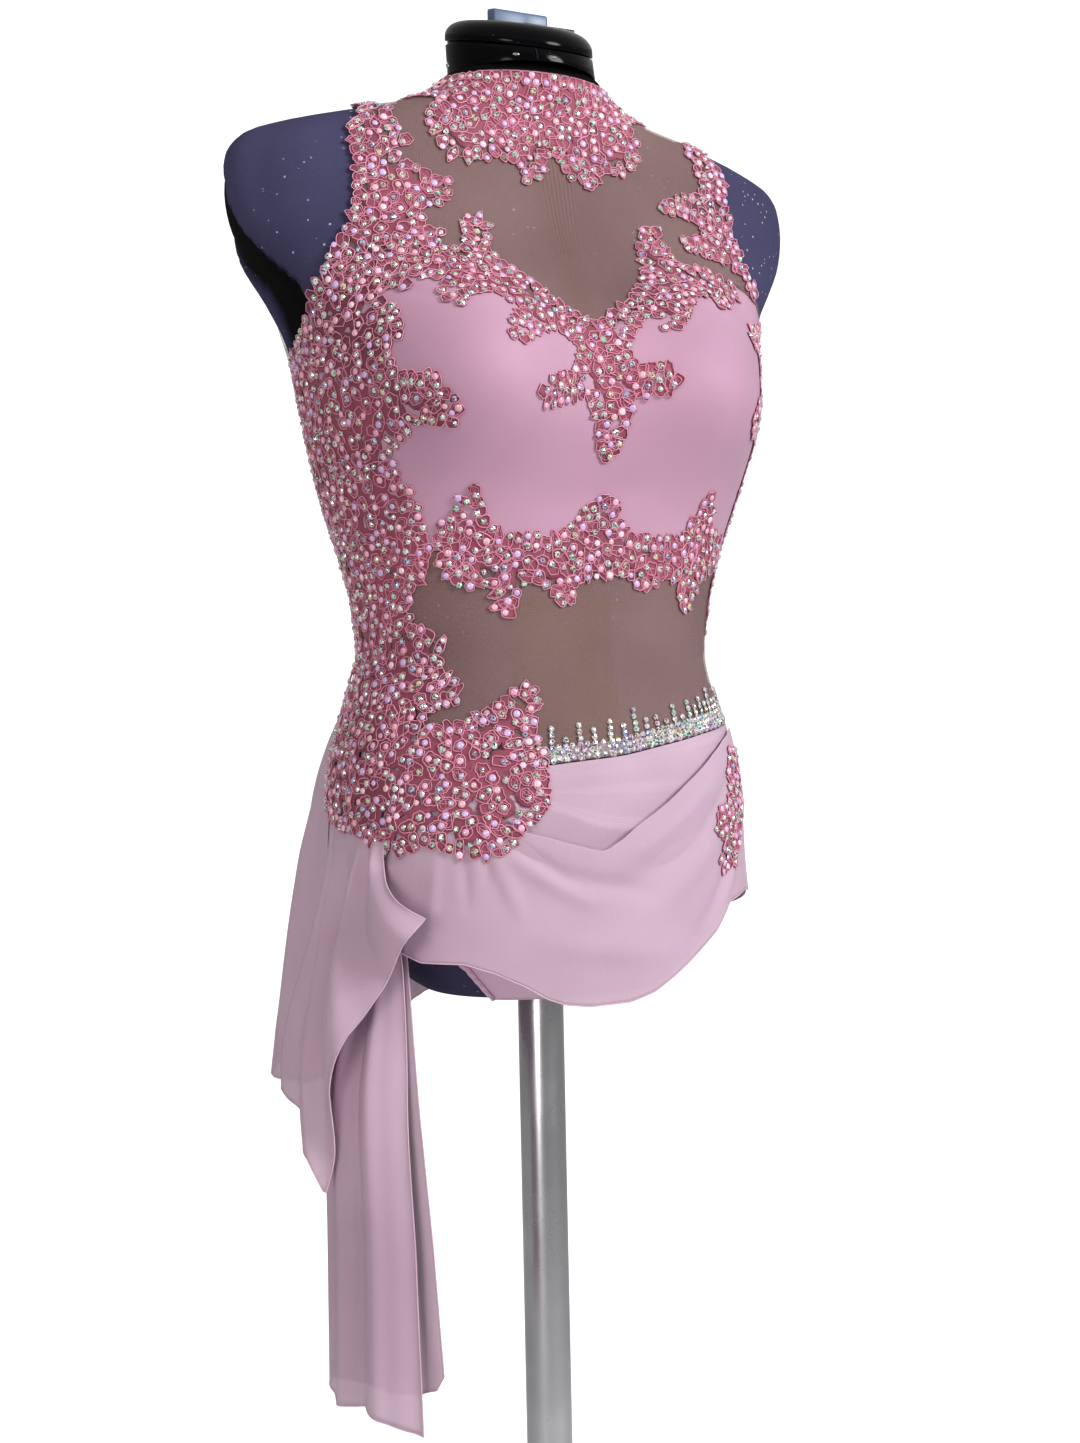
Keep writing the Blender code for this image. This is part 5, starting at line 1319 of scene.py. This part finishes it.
def build_neck_cap():
    """The black ring and its rounded lid with what sits on them, all leaning to the front."""
    wide = NECK_RADIUS
    low, high = FORM_BOTTOM + TORSO_TOP + SEAM_GAP, FORM_BOTTOM + NECK_RING_TOP
    ring = turned("neck_ring", softened([
        (0.0, low), (wide - 0.0005, low), (wide, low + 0.001), (wide - 0.0002, high - 0.0016),
        (wide - 0.0017, high - 0.0012), (wide - 0.0017, high), (0.0, high),
    ], 0.0005), BLACK_CAP)
    low, high = high + SEAM_GAP, FORM_BOTTOM + NECK_LID_TOP
    turns = np.radians(np.linspace(0, 90, 14))
    dome = [(wide - 0.015 * (1 - math.cos(t)), high - 0.0125 * (1 - math.sin(t))) for t in turns]
    rim = [(0.0, low), (wide - 0.0006, low), (wide, low + 0.0006)]
    lid = turned("neck_lid", rim + dome + [(0.0, high)], BLACK_CAP)
    hold(ring, "gloss_black", "form_neck_ring")
    hold(lid, "gloss_black", "form_neck_lid")
    for piece in [ring, lid] + knob_pieces(high) + screw_pieces():
        for spot in piece.data.vertices:
            spot.co = leaned(spot.co)


def build_stand():
    """The pole and the round base with its socket."""
    pole_low, pole_high = BASE_HEIGHT + SOCKET_HEIGHT + SEAM_GAP, FORM_BOTTOM - SEAM_GAP
    pole = [(POLE_RADIUS, z) for z in (pole_low, 0.44, 0.46, pole_high)]
    pole = softened([(0.0, pole_low)] + pole + [(0.0, pole_high)], 0.0004)
    hold(turned("stand_pole", pole, STEEL), "satin_steel", "form_pole")
    base = turned("stand_base", softened([
        (0.0, 0.0), (BASE_RADIUS - 0.002, 0.0), (BASE_RADIUS, 0.003), (BASE_RADIUS, 0.01),
        (BASE_RADIUS - 0.006, 0.0155), (0.05, BASE_HEIGHT), (0.03, BASE_HEIGHT + 0.008),
        (0.026, BASE_HEIGHT + SOCKET_HEIGHT), (0.0, BASE_HEIGHT + SOCKET_HEIGHT),
    ], 0.003, 4), BASE_PAINT, 128)
    hold(base, "black_paint", "form_base")


# The leotard


def leg_band(side, rows, lift):
    """The outline of a narrow binding that follows a leg opening."""
    flat = [Vector((a * METRES_PER_DEGREE, h)) for a, h in rows]
    edge = []
    for k, p in enumerate(flat):
        run = (flat[min(k + 1, len(flat) - 1)] - flat[max(k - 1, 0)]).normalized()
        edge.append(p + Vector((-run.y, run.x)) * side * lift)
    edge = [(v.x / METRES_PER_DEGREE, max(v.y, 0.0)) for v in edge]
    return rows + edge[::-1]


def panel(name, outline, look, slot, node, step_a, step_h, creases=()):
    """A cloth of the leotard that is stretched over the form."""
    piece = region(name, outline, CLOTH_OUT, look, step_a, step_h, creases)
    cloth(piece, slot, [node])


def both_sides(half):
    """An outline's left half and its mirror image, which share the spot at the centre front."""
    return half + [(-a, h) for a, h in reversed(half)][:-1]


def waist_line(angles, shift):
    """The seam above the skirt, shifted up or down."""
    return [(a, table(SKIRT_SEAM, a if a <= 180 else a - 360) + shift) for a in angles]


def build_leotard():
    """The panels between their seams, each kept clear of its neighbours."""
    gap = SEAM_GAP
    neck = [(a, h + gap) for a, h in SWEETHEART]
    yoke = neck + [(66.2, 0.4663 + gap)] + list(reversed(ARMHOLE_FRONT[:9]))
    arm_front, arm_back = 90 - SHOULDER_GAP, 90 + SHOULDER_GAP
    yoke = [(min(a, arm_front), h) for a, h in yoke] + [(arm_front, COLLAR_SEAM - gap)]
    panel("mesh_yoke", both_sides(yoke), MESH_CLOTH, "taupe_mesh", "yoke_front", 2.5, 0.005)

    edge, side = SIDE_SEAM - SIDE_GAP, SIDE_SEAM + SIDE_GAP
    neck = [(a, h - gap) for a, h in SWEETHEART][:-1]
    bust = neck + [(65.8, 0.4658 - gap)] + ARMHOLE_FRONT[10:-1]
    bust += [(edge, ARMPIT), (edge, UNDERBUST + gap)]
    panel("satin_bust", both_sides(bust), SATIN, "rose_satin", "bust_panel", 2.0, 0.004, BUST_CREASES)

    steps = list(np.arange(-84.0, 85.0, 6.0))
    outline = [(-edge, UNDERBUST - gap), (edge, UNDERBUST - gap)]
    outline += waist_line([edge] + steps[::-1] + [-edge], gap)
    panel("mesh_midriff", outline, MESH_CLOTH, "taupe_mesh", "midriff_front", 2.5, 0.005, MIDRIFF_CREASES)

    around = [side] + list(np.arange(96.0, 265.0, 6.0)) + [360 - side]
    left_arm = [(max(a, arm_back), h) for a, h in reversed(ARMHOLE_BACK)]
    right_arm = [(360 - a, h) for a, h in left_arm]
    outline = waist_line(around, gap) + [(360 - side, ARMPIT)] + right_arm
    outline += [(360 - arm_back, COLLAR_SEAM - gap), (arm_back, COLLAR_SEAM - gap)]
    outline += left_arm[::-1] + [(side, ARMPIT)]
    panel("mesh_back", outline, MESH_CLOTH, "taupe_mesh", "back_bodice", 3.0, 0.007, BACK_CREASES)

    collar = [(-179.8, COLLAR_SEAM), (179.8, COLLAR_SEAM), (179.8, COLLAR_TOP), (-179.8, COLLAR_TOP)]
    panel("mesh_collar", collar, MESH_CLOTH, "taupe_mesh", "collar", 3.0, 0.004)

    legs = [(-a, h) for a, h in reversed(LEG_FRONT)] + LEG_FRONT
    legs = [(float(np.clip(a, -edge, edge)), h) for a, h in legs]
    outline = legs + waist_line([-edge] + steps + [edge], -gap)[::-1]
    panel("brief_front_shell", outline, BRIEF, "pink_binding", "brief_front", 3.0, 0.006, BRIEF_CREASES)

    legs = [(max(a, side), h) for a, h in reversed(LEG_BACK)]
    legs = legs + [(360 - a, h) for a, h in reversed(legs)]
    outline = legs + waist_line(around, -gap)[::-1]
    panel("brief_back_shell", outline, BRIEF, "pink_binding", "brief_back", 3.0, 0.006, BRIEF_CREASES)


def gathered_band(name, outline, node):
    """A leg binding with small gathers across it."""
    flat, triangles = filled([finer(outline, 0.002)], 0.8, 0.002)
    angle, height = unrolled(flat)
    ripple = 0.00025 * np.sin((flat[:, 0] - flat[:, 1]) * 2 * math.pi / 0.0044)
    points = on_body(angle, height, BAND_OUT + ripple)
    piece = thickened(add_mesh(name, points, triangles, BRIEF, flat=flat), CLOTH_WALL)
    cloth(piece, "pink_binding", [node])


def build_brief_trim():
    """The leg bindings, each with two rows of stitches."""
    runs = []
    for name, sign in (("right", -1), ("left", 1)):
        front = [(sign * min(a, SIDE_SEAM - 0.4), h + 0.0004) for a, h in LEG_FRONT]
        back = [(max(a, SIDE_SEAM + 0.4), h + 0.0004) for a, h in LEG_BACK]
        back = back if sign > 0 else [(360 - a, h) for a, h in back]
        for part, rows, side in (("front", front, sign), ("back", back, -sign)):
            band = leg_band(side, rows, BAND_WIDTH)
            gathered_band(f"leg_band_{name}_{part}", band, f"binding_{name}_{part}")
            for lift in STITCH_ROWS:
                line = leg_band(side, rows, lift)[len(rows):][::-1]
                line = finer([(a, max(h, 0.0008)) for a, h in line], 0.0022)
                for k in range(0, len(line) - 1, 2):
                    (a0, h0), (a1, h1) = line[k], line[k + 1]
                    runs.append((on_body(np.array([a0, a1]), np.array([h0, h1]), BAND_OUT + 0.0003), False))
    hold(corded("leg_stitches", runs, STITCH_RADIUS, THREAD, 4), "pink_binding")


def build_gusset():
    """The gusset under the form: its ends follow the form, and its sides pass the pole."""
    high = FORM_BOTTOM - 0.0004
    front = [on_body(float(a), 0.0, -0.0003)[:2] for a in range(-42, 43, 6)]
    back = [on_body(float(a), 0.0, -0.0003)[:2] for a in range(152, 209, 7)]
    left = [(0.071, -0.025), (0.0725, -0.012), (0.073, 0.0), (0.0725, 0.012), (0.071, 0.025)]
    right = [(-0.01, 0.04), (0.01, 0.026), (0.022, 0.014), (0.025, 0.0), (0.022, -0.014)]
    right += [(0.01, -0.026), (-0.01, -0.04)]
    loop = [Vector(p) for p in front + left + back + right]
    found, kept = triangles_in(loop, [list(range(len(loop)))], 1e-6)
    spots = np.array([(p.x, p.y) for p in found])
    faces = [(a, c, b) for a, b, c in turned_left(spots, kept)]
    vertices = [(x, y, high - 0.001) for x, y in spots]
    piece = thickened(add_mesh("gusset_shell", vertices, faces, BRIEF, flat=spots), CLOTH_WALL)
    cloth(piece, "pink_binding", ["gusset"])


# The skirt


def build_skirt():
    """Each cloth of the skirt with the rolled hem along its bottom and its free sides."""
    for name, hem, place, count, down, sides, node, held, rests_on in (
        ("chiffon_drape", "drape_hem", drape_place, 121, drape_rows(), (), "skirt_front_drape", "draped",
         ("knit_torso", "brief_front_shell")),
        ("chiffon_back_skirt", "back_skirt_hem", back_skirt_place, 181, np.linspace(0, 1, 48), (),
         "skirt_back", "hung", ("knit_torso", "brief_back_shell")),
        ("chiffon_flap", "flap_hem", flap_place, 91, np.linspace(0, 1, 61), (0,), "cascade_flap", "hung",
         ("brief_front_shell",)),
        ("chiffon_tail", "tail_hem", tail_place, 97, np.linspace(0, 1, 71), (0, 1), "cascade_tail",
         "folded", ("chiffon_flap",)),
    ):
        ends = np.linspace(0, 1, count)
        runs = [place(ends, 0 * ends + 1)] + [place(0 * down + side, down) for side in sides]
        edge = corded(hem, [(run, False) for run in runs], HEM_RADIUS, HEM)
        hold(edge, "pink_chiffon")
        piece = sheet_grid(name, place, ends, down, CHIFFON, CUTS[name])
        cloth(piece, "pink_chiffon", [node])


# The lace


def inside_mask(outline, angle, height):
    """Which spots lie in the closed outline."""
    found = np.zeros(angle.shape, bool)
    for (ax, ay), (bx, by) in zip(outline, outline[1:] + outline[:1]):
        crosses = (ay > height) != (by > height)
        reach = (bx - ax) * (height - ay) / ((by - ay) or 1e-9) + ax
        found ^= crosses & (angle < reach)
    return found


def lace_place(angle, height, out=0.0):
    """Points on the surface that the lace lies on, moved out."""
    return lifted(angle, height, lace_lift(angle, height) + out)


def surface_frame(a, h):
    """A point of the lace's surface with its slopes for one degree and for one metre of height."""
    along = (lace_place(a + 0.3, h) - lace_place(a - 0.3, h)) / 0.6
    up = (lace_place(a, h + 0.001) - lace_place(a, h - 0.001)) / 0.002
    return lace_place(a, h), along, up


def local_scale(angle, height):
    """Metres for one degree and for one metre of height at a spot of the lace."""
    across = lace_place(angle + 0.5, height) - lace_place(angle - 0.5, height)
    rise = lace_place(angle, height + 0.001) - lace_place(angle, height - 0.001)
    return np.linalg.norm(across, axis=-1), np.linalg.norm(rise, axis=-1) / 0.002


# share of the border, then from and to in millimetres: length, width, how far inside its middle lies
BORDER_KINDS = {
    "petal": (0.5, 9.4, 12.4, 7.2, 9.0, 3.0, 4.8),
    "leaf": (0.3, 11.0, 14.6, 5.4, 7.0, 1.4, 3.4),
    "bud": (0.2, 6.2, 7.8, 5.4, 6.6, -0.8, 1.2),
}
LEANS = {"petal": -0.3, "leaf": 0.28, "bud": 0.0}
PETAL_SPOTS, PATCH_SPOTS = 20, 12


def petal_loop(chance, kind, long, wide):
    """The closed wavy outline of one petal, leaf or bud in metres about its middle."""
    turns = np.linspace(0, 2 * math.pi, PETAL_SPOTS, endpoint=False)
    deep, waves, start = chance.uniform(0.06, 0.13), chance.choice([4, 5, 6]), chance.uniform(0, 6.28)
    picots = 1 + deep * np.sin(waves * turns + start)
    picots = picots + np.array([chance.uniform(-0.06, 0.06) for _ in turns])
    x = -0.5 * long * np.cos(turns)
    y = 0.5 * wide * np.sin(turns) * (1 + LEANS[kind] * np.cos(turns))
    return x * picots, y * picots


def laid_flat(a, h, x, y):
    """Spots that lie x and y metres away from the spots (a, h), measured in the surface there."""
    point, along, up = surface_frame(a, h)
    side, face = unit(along), unit(np.cross(along, up))
    target = point + side * x[:, None] + np.cross(face, side) * y[:, None]
    found_a, found_h = a.copy(), h.copy()
    for _ in range(4):
        point, along, up = surface_frame(found_a, found_h)
        miss = target - point
        aa, uu, au = (along * along).sum(-1), (up * up).sum(-1), (along * up).sum(-1)
        am, um = (along * miss).sum(-1), (up * miss).sum(-1)
        whole = np.maximum(aa * uu - au * au, 1e-14)
        found_a += np.clip((uu * am - au * um) / whole, -5, 5)
        found_h += np.clip((aa * um - au * am) / whole, -0.006, 0.006)
    return found_a, found_h


class Lace:
    """The motifs of one applique: petals along its outline, then petals scattered inside it."""

    def __init__(self, outline, seed, top, petal_gap, stone_gap):
        self.outline, self.chance, self.top, self.stone_gap = outline, random.Random(seed), top, stone_gap
        self.petals, self.veins, self.sites, self.centres, self.spots = [], [], [], [], []
        self.border()
        self.scatter(petal_gap)

    def clear(self, point, gap):
        """Whether no petal's middle is nearer to the point than the gap."""
        if not self.centres:
            return True
        return np.min(np.linalg.norm(np.array(self.centres) - point, axis=1)) > gap

    def add(self, spot, point, way, kind, long, wide, layer):
        """One petal centred on the spot, with its tip along the way (an angle in the surface)."""
        x, y = petal_loop(self.chance, kind, long, wide)
        turned_x = x * math.cos(way) - y * math.sin(way)
        turned_y = x * math.sin(way) + y * math.cos(way)
        self.petals.append((spot, turned_x, turned_y, layer))
        if self.chance.random() < 0.5:
            keep = self.chance.uniform(0.6, 0.76)
            self.veins.append((spot, turned_x[::2] * keep, turned_y[::2] * keep, layer))
        self.centres.append(point)
        self.spots.append(spot)
        for draw in ([0.0] if long < 0.0098 else [-0.22, 0.24]):
            self.sites.append((spot, draw * long * math.cos(way), draw * long * math.sin(way)))

    def border(self):
        """Petals, leaves and buds along the outline, most with their tips out."""
        flat = np.array(self.outline + self.outline[:1])
        middle = (flat[1:] + flat[:-1]) / 2
        across, rise = local_scale(middle[:, 0], middle[:, 1])
        spots, plans = [], []
        for p, q, a, r in zip(flat, flat[1:], across, rise):
            run = np.array([(q[0] - p[0]) * a, (q[1] - p[1]) * r])
            length = float(np.linalg.norm(run))
            away = np.array([run[1], -run[0]]) / length
            probe = (p + q) / 2 + np.array([away[0] * 0.001 / a, away[1] * 0.001 / r])
            outward = -away if inside_mask(self.outline, probe[:1], probe[1:])[0] else away
            parts = max(1, int(round(length / BORDER_STEP)))
            for k in range(parts):
                kind = self.chance.choices(list(BORDER_KINDS), [v[0] for v in BORDER_KINDS.values()])[0]
                _, long_a, long_b, wide_a, wide_b, in_a, in_b = BORDER_KINDS[kind]
                inset = self.chance.uniform(in_a, in_b) / 1000
                spot = p + (q - p) * (k + 0.5) / parts
                high = min(spot[1] - outward[1] * inset / r, self.top - 0.0035)
                spots.append((spot[0] - outward[0] * inset / a, high))
                way = math.atan2(outward[1], outward[0]) + self.chance.uniform(-0.5, 0.5)
                long, wide = self.chance.uniform(long_a, long_b), self.chance.uniform(wide_a, wide_b)
                plans.append((way, kind, long / 1000, wide / 1000))
        points = lace_place(*np.array(spots).T)
        for spot, point, plan in zip(spots, points, plans):
            if self.clear(point, BORDER_CLEAR):
                self.add(spot, point, *plan, self.chance.uniform(0.0, 0.0004))

    def scatter(self, gap):
        """Petals at chance places inside the outline, wherever there is room."""
        low, high = np.min(self.outline, axis=0), np.max(self.outline, axis=0)
        chance = np.random.default_rng(self.chance.randrange(10**6))
        a, h = (chance.uniform(low[k], high[k], PETAL_TRIES) for k in (0, 1))
        kept = inside_mask(self.outline, a, h)
        a, h = a[kept], h[kept]
        points = lace_place(a, h)
        for angle, height, point in zip(a, h, points):
            if self.clear(point, gap):
                kind = self.chance.choice(["petal", "leaf", "petal", "bud"])
                long, wide = self.chance.uniform(0.0086, 0.0134), self.chance.uniform(0.0062, 0.0092)
                self.add((angle, height), point, self.chance.uniform(0, 6.28), kind, long, wide,
                         self.chance.uniform(0.0002, 0.0006))
        self.sites += [(spot, 0.0, 0.0) for spot in zip(a[:STONE_TRIES], h[:STONE_TRIES])]

    def ground(self):
        """Round patches of net under the petals, none reaching past the outline."""
        spots, flat = np.array(self.spots), np.array(self.outline + self.outline[:1])
        across, rise = local_scale(spots[:, 0], spots[:, 1])
        near = np.full(len(spots), 1.0)
        for p, q in zip(flat, flat[1:]):
            run = np.stack([(q[0] - p[0]) * across, (q[1] - p[1]) * rise], -1)
            away = np.stack([(spots[:, 0] - p[0]) * across, (spots[:, 1] - p[1]) * rise], -1)
            share = np.clip((run * away).sum(-1) / np.maximum((run * run).sum(-1), 1e-12), 0, 1)
            near = np.minimum(near, np.linalg.norm(away - run * share[:, None], axis=-1))
        turns = np.linspace(0, 2 * math.pi, PATCH_SPOTS, endpoint=False)
        rings = [(tuple(s), r) for s, r in zip(spots, np.minimum(NET_REACH, near)) if r > 0.003]
        return [(spot, r * np.cos(turns), r * np.sin(turns), 0.0) for spot, r in rings]

    def stems(self):
        """Short bowed cords between neighbouring petals."""
        points, made = np.array(self.centres), []
        for i, point in enumerate(points):
            away = np.linalg.norm(points - point, axis=1)
            for j in np.argsort(away)[1:4]:
                if j > i and 0.0055 < away[j] < 0.0115:
                    share, bow = np.linspace(0, 1, 5), self.chance.uniform(-0.0016, 0.0016)
                    (a0, h0), (a1, h1) = self.spots[i], self.spots[j]
                    lift = np.sin(np.pi * share) * bow
                    run_a = a0 + (a1 - a0) * share + lift / METRES_PER_DEGREE
                    made.append((run_a, h0 + (h1 - h0) * share - lift))
        return made

    def settle(self, rows):
        """The rows' outlines as spots on the surface, all found in one go."""
        counts = [len(r[1]) for r in rows]
        a, h = (np.repeat([r[0][k] for r in rows], counts) for k in (0, 1))
        x, y = (np.concatenate([r[k] for r in rows]) for k in (1, 2))
        a, h = laid_flat(a, h, x, y)
        h = np.minimum(h, self.top)
        ends = np.cumsum(counts)[:-1]
        return list(zip(np.split(a, ends), np.split(h, ends), [r[3] for r in rows]))

    def stone_spots(self):
        """Places and facings of stones, no two closer than the stone gap."""
        a, h, x, y = np.array([(*spot, x, y) for spot, x, y in self.sites]).T
        a, h = laid_flat(a, h, x, y)
        h = np.minimum(h, self.top - 0.0022)
        points, along, up = surface_frame(a, h)
        facing = unit(np.cross(along, up))
        kept, made = np.empty((0, 3)), []
        for point, face in zip(points, facing):
            if len(kept) and np.min(np.linalg.norm(kept - point, axis=1)) < self.stone_gap:
                continue
            kept = np.vstack([kept, point])
            made.append((point, face))
        return made


def laid_runs(rows, rise, closed=True):
    """Runs of points that lie on the lace's surface, each raised by its own layer."""
    a, h = np.concatenate([r[0] for r in rows]), np.concatenate([r[1] for r in rows])
    layer = np.concatenate([np.full(len(r[0]), r[2] if len(r) > 2 else 0.0) for r in rows])
    points = np.split(lace_place(a, h, rise + layer), np.cumsum([len(r[0]) for r in rows])[:-1])
    return [(run, closed) for run in points]


NO_TOP = 9.0  # higher than any lace
# name, outline, its solid, seed, top edge, gap between petals, gap between stones, cloth beneath
LACES = [
    ("collar", COLLAR_LACE, "lace_collar", 3, 0.624, 0.0074, 0.0055, "mesh_collar"),
    ("neckline", NECKLINE_LACE, "lace_neckline", 5, NO_TOP, PETAL_GAP, STONE_GAP, "satin_bust"),
    ("shoulder_right", SHOULDER_RIGHT_LACE, "lace_shoulder_right", 7, NO_TOP, PETAL_GAP, STONE_GAP,
     "mesh_yoke"),
    ("shoulder_left", SHOULDER_LACE, "lace_shoulder_left", 8, NO_TOP, PETAL_GAP, STONE_GAP, "mesh_yoke"),
    ("underbust", UNDERBUST_LACE, "lace_underbust", 9, NO_TOP, PETAL_GAP, STONE_GAP, "mesh_midriff"),
    ("side_right", SIDE_LACE, "lace_side_right", 11, NO_TOP, 0.0075, 0.0053, "satin_bust"),
    ("side_left", LEFT_SIDE_LACE, "lace_side_left", 13, NO_TOP, 0.008, 0.0055, "satin_bust"),
    ("hip_left", LEFT_HIP_LACE, "lace_hip_left", 15, NO_TOP, PETAL_GAP, 0.0056, "chiffon_drape"),
]


# how far the lace's parts stand over its net
CORD_RISE, VEIN_RISE, STEM_RISE, STONE_RISE = 0.00035, 0.0002, 0.0001, 0.0003
STONE_WIDTHS = [0.004, 0.0044, 0.0047, 0.005]
PEARL_SHARE, PEARL_DEPTH, CRYSTAL_DEPTH = 0.36, 0.24, 0.4  # a stone's depth is a share of its width


def build_lace():
    """Each applique: its net with cords, veins and stems; then all the stones and pearls."""
    crystals, pearls = [], []
    chance = random.Random(41)
    for name, outline, node, seed, top, petal_gap, stone_gap, under in LACES:
        made = Lace(outline, seed, top, petal_gap, stone_gap)
        petals, veins = made.settle(made.petals), made.settle(made.veins)
        patches = petals + made.settle(made.ground())
        flat, triangles = filled([list(zip(a.tolist(), h.tolist())) for a, h, _ in patches])
        angle, height = unrolled(flat)
        net = add_mesh(f"lace_net_{name}", lace_place(angle, height), triangles, LACE_NET, flat=flat)
        thickened(net, LACE_WALL)
        cords = corded(f"lace_cords_{name}", laid_runs(petals, CORD_RISE), CORD_RADIUS, CORD, 4)
        hold(cords, "corded_lace")
        threads = laid_runs(veins, VEIN_RISE) + laid_runs(made.stems(), STEM_RISE, False)
        veins = corded(f"lace_veins_{name}", threads, VEIN_RADIUS, CORD, 3)
        hold(veins, "corded_lace")
        cloth(net, "corded_lace", [node])
        for point, facing in made.stone_spots():
            size, is_pearl = chance.choice(STONE_WIDTHS), chance.random() < PEARL_SHARE
            depth = size * (PEARL_DEPTH if is_pearl else CRYSTAL_DEPTH)
            (pearls if is_pearl else crystals).append((point + facing * STONE_RISE, facing, size, depth))
    cut = stones("lace_crystals", crystals, cut_stone(), CRYSTAL, CRYSTAL_TINTS_AND_REFLECTIONS, CRYSTAL_CASTS, 23, False)
    white = [rgb(255, 255, 255)]
    round_ones = stones("lace_pearls", pearls, domed_stone(), PEARL, PEARL_TONES, white, 29, True)
    hold(cut, "crystal_trim")
    hold(round_ones, "corded_lace")


def trim_spot(angle, rise, width):
    """A stone of the crystal band, by its height above the seam."""
    height = table(SKIRT_SEAM, angle) + rise
    facing = normals(np.array(angle), np.array(height))
    return on_body(angle, height, LACE_OUT), facing, width, width * 0.42


def build_trim():
    """The crystal band on the skirt's seam: two rows of stones and upright spikes of small ones."""
    low = [(a, table(SKIRT_SEAM, a) + 0.0006) for a in np.arange(TRIM_FROM, TRIM_TO + 0.1, 2.0)]
    high = [(a, h + 0.0098) for a, h in low]
    band = region("trim_backing", low + high[::-1], LACE_OUT, CRYSTAL_BACK, 2.0, 0.003, wall=0.0003)
    spots = []
    chance = random.Random(77)
    for k, angle in enumerate(np.arange(TRIM_FROM - 3.0, TRIM_TO - 1.0, TRIM_PITCH)):
        spots.append(trim_spot(angle, 0.0028, 0.0062))
        for shift, rise, size in TRIM_STONES:
            size += chance.uniform(-0.0003, 0.0003)
            spots.append(trim_spot(angle + shift * TRIM_PITCH, rise, size))
        for step in range(SPIKES[k % len(SPIKES)]):
            size = 0.0046 - 0.0001 * step
            spots.append(trim_spot(angle + chance.uniform(-0.1, 0.1), 0.0104 + 0.0042 * step, size))
    cut = stones("trim_crystals", spots, cut_stone(), CRYSTAL, CRYSTAL_TINTS_AND_REFLECTIONS, CRYSTAL_CASTS, 31, False)
    hold(cut, "crystal_trim")
    cloth(band, "crystal_trim", ["waist_trim"])


# Stage, light and camera


def stage_material():
    """A pale floor that glows a little towards the camera, so that the sweep has no horizon."""
    made, tree, shader = material("pale_studio", Roughness=0.9)
    spot, _ = places(tree)
    dye = dyed(tree, spot, rgb(204, 204, 204), rgb(199, 199, 200), 0.7, 0.1)
    feed(tree, shader, "Base Color", dye.outputs[0])
    path = put(tree, "ShaderNodeLightPath")
    shader.inputs["Emission Color"].default_value = (1.0, 1.0, 1.0, 1.0)
    feed(tree, shader, "Emission Strength", sums(tree, "MULTIPLY", path.outputs["Is Camera Ray"], 0.9))
    return made


# radius and height of the floor's sweep
SWEEP = [(4.0, 0.0), (4.6, 0.06), (5.2, 0.26), (5.7, 0.62), (6.0, 1.15), (6.1, 1.8), (6.1, 4.2)]
FLOOR_DROP = 0.0002
# disk lamps: name, angle, height, distance, width, watts, colour; all point at one height on the axis
LAMPS = [
    ("window_light", 30, 2.2, 2.3, 0.9, 66.0, (0.98, 0.98, 1.0)),
    ("side_fill", -46, 1.25, 2.8, 1.0, 26.0, (1.0, 0.95, 0.93)),
    ("back_fill", 165, 2.4, 3.0, 1.6, 20.0, (1.0, 0.98, 0.97)),
]
AIM_HEIGHT = 1.15


def lamp(name, azimuth, height, distance, size, power, colour):
    light = bpy.data.lights.new(name, "AREA")
    light.shape = "DISK"
    light.size, light.energy, light.color = size, power, colour
    obj = in_scene(name, light)
    obj.location = round_way(azimuth) * distance + Vector((0, 0, height))
    obj.rotation_euler = (Vector((0, 0, AIM_HEIGHT)) - obj.location).to_track_quat("-Z", "Y").to_euler()


def build_stage():
    """The floor's sweep, the pale world and the lamps."""
    steps = 96
    vertices = [(0.0, 0.0, -FLOOR_DROP)] + ring_points([(r, z - FLOOR_DROP) for r, z in SWEEP], steps)
    faces = [(0, 1 + i, 1 + j) for i, j in round_pairs(steps)]
    faces += [(1 + a, 1 + d, 1 + c, 1 + b) for a, b, c, d in ring_faces(len(SWEEP), steps)]
    add_mesh("studio_floor", vertices, faces, stage_material())
    world = bpy.data.worlds.new("studio")
    bpy.context.scene.world = world
    world.use_nodes = True
    sky = world.node_tree.nodes["Background"]
    sky.inputs[0].default_value, sky.inputs[1].default_value = (1.0, 0.99, 0.98, 1.0), 0.6
    for row in LAMPS:
        lamp(*row)


CAMERA_ANGLE, CAMERA_ROLL = -25.0, 1.2
# from the axis, to the side, and above the form's bottom; then the lens and its sensor in millimetres
CAMERA_AWAY, CAMERA_SHIFT, CAMERA_HEIGHT = 1.3, 0.0037, 0.183
LENS, SENSOR = 46.05, 36.0


def build_camera():
    """A level camera at the photo's side, turned a little about its own axis."""
    back, side, up = round_way(CAMERA_ANGLE), round_way(CAMERA_ANGLE + 90), Vector((0.0, 0.0, 1.0))
    roll = math.radians(CAMERA_ROLL)
    right = side * math.cos(roll) - up * math.sin(roll)
    top = up * math.cos(roll) + side * math.sin(roll)
    lens = bpy.data.cameras.new("camera")
    lens.lens, lens.sensor_width = LENS, SENSOR
    camera = in_scene("camera", lens)
    place = Matrix((right, top, back)).transposed().to_4x4()
    place.translation = back * CAMERA_AWAY + side * CAMERA_SHIFT + up * (FORM_BOTTOM + CAMERA_HEIGHT)
    camera.matrix_world = place
    bpy.context.scene.camera = camera


bpy.context.scene.view_settings.view_transform = "Standard"
build_torso()
build_neck_cap()
build_stand()
build_leotard()
build_brief_trim()
build_gusset()
build_skirt()
build_lace()
build_trim()
build_stage()
build_camera()
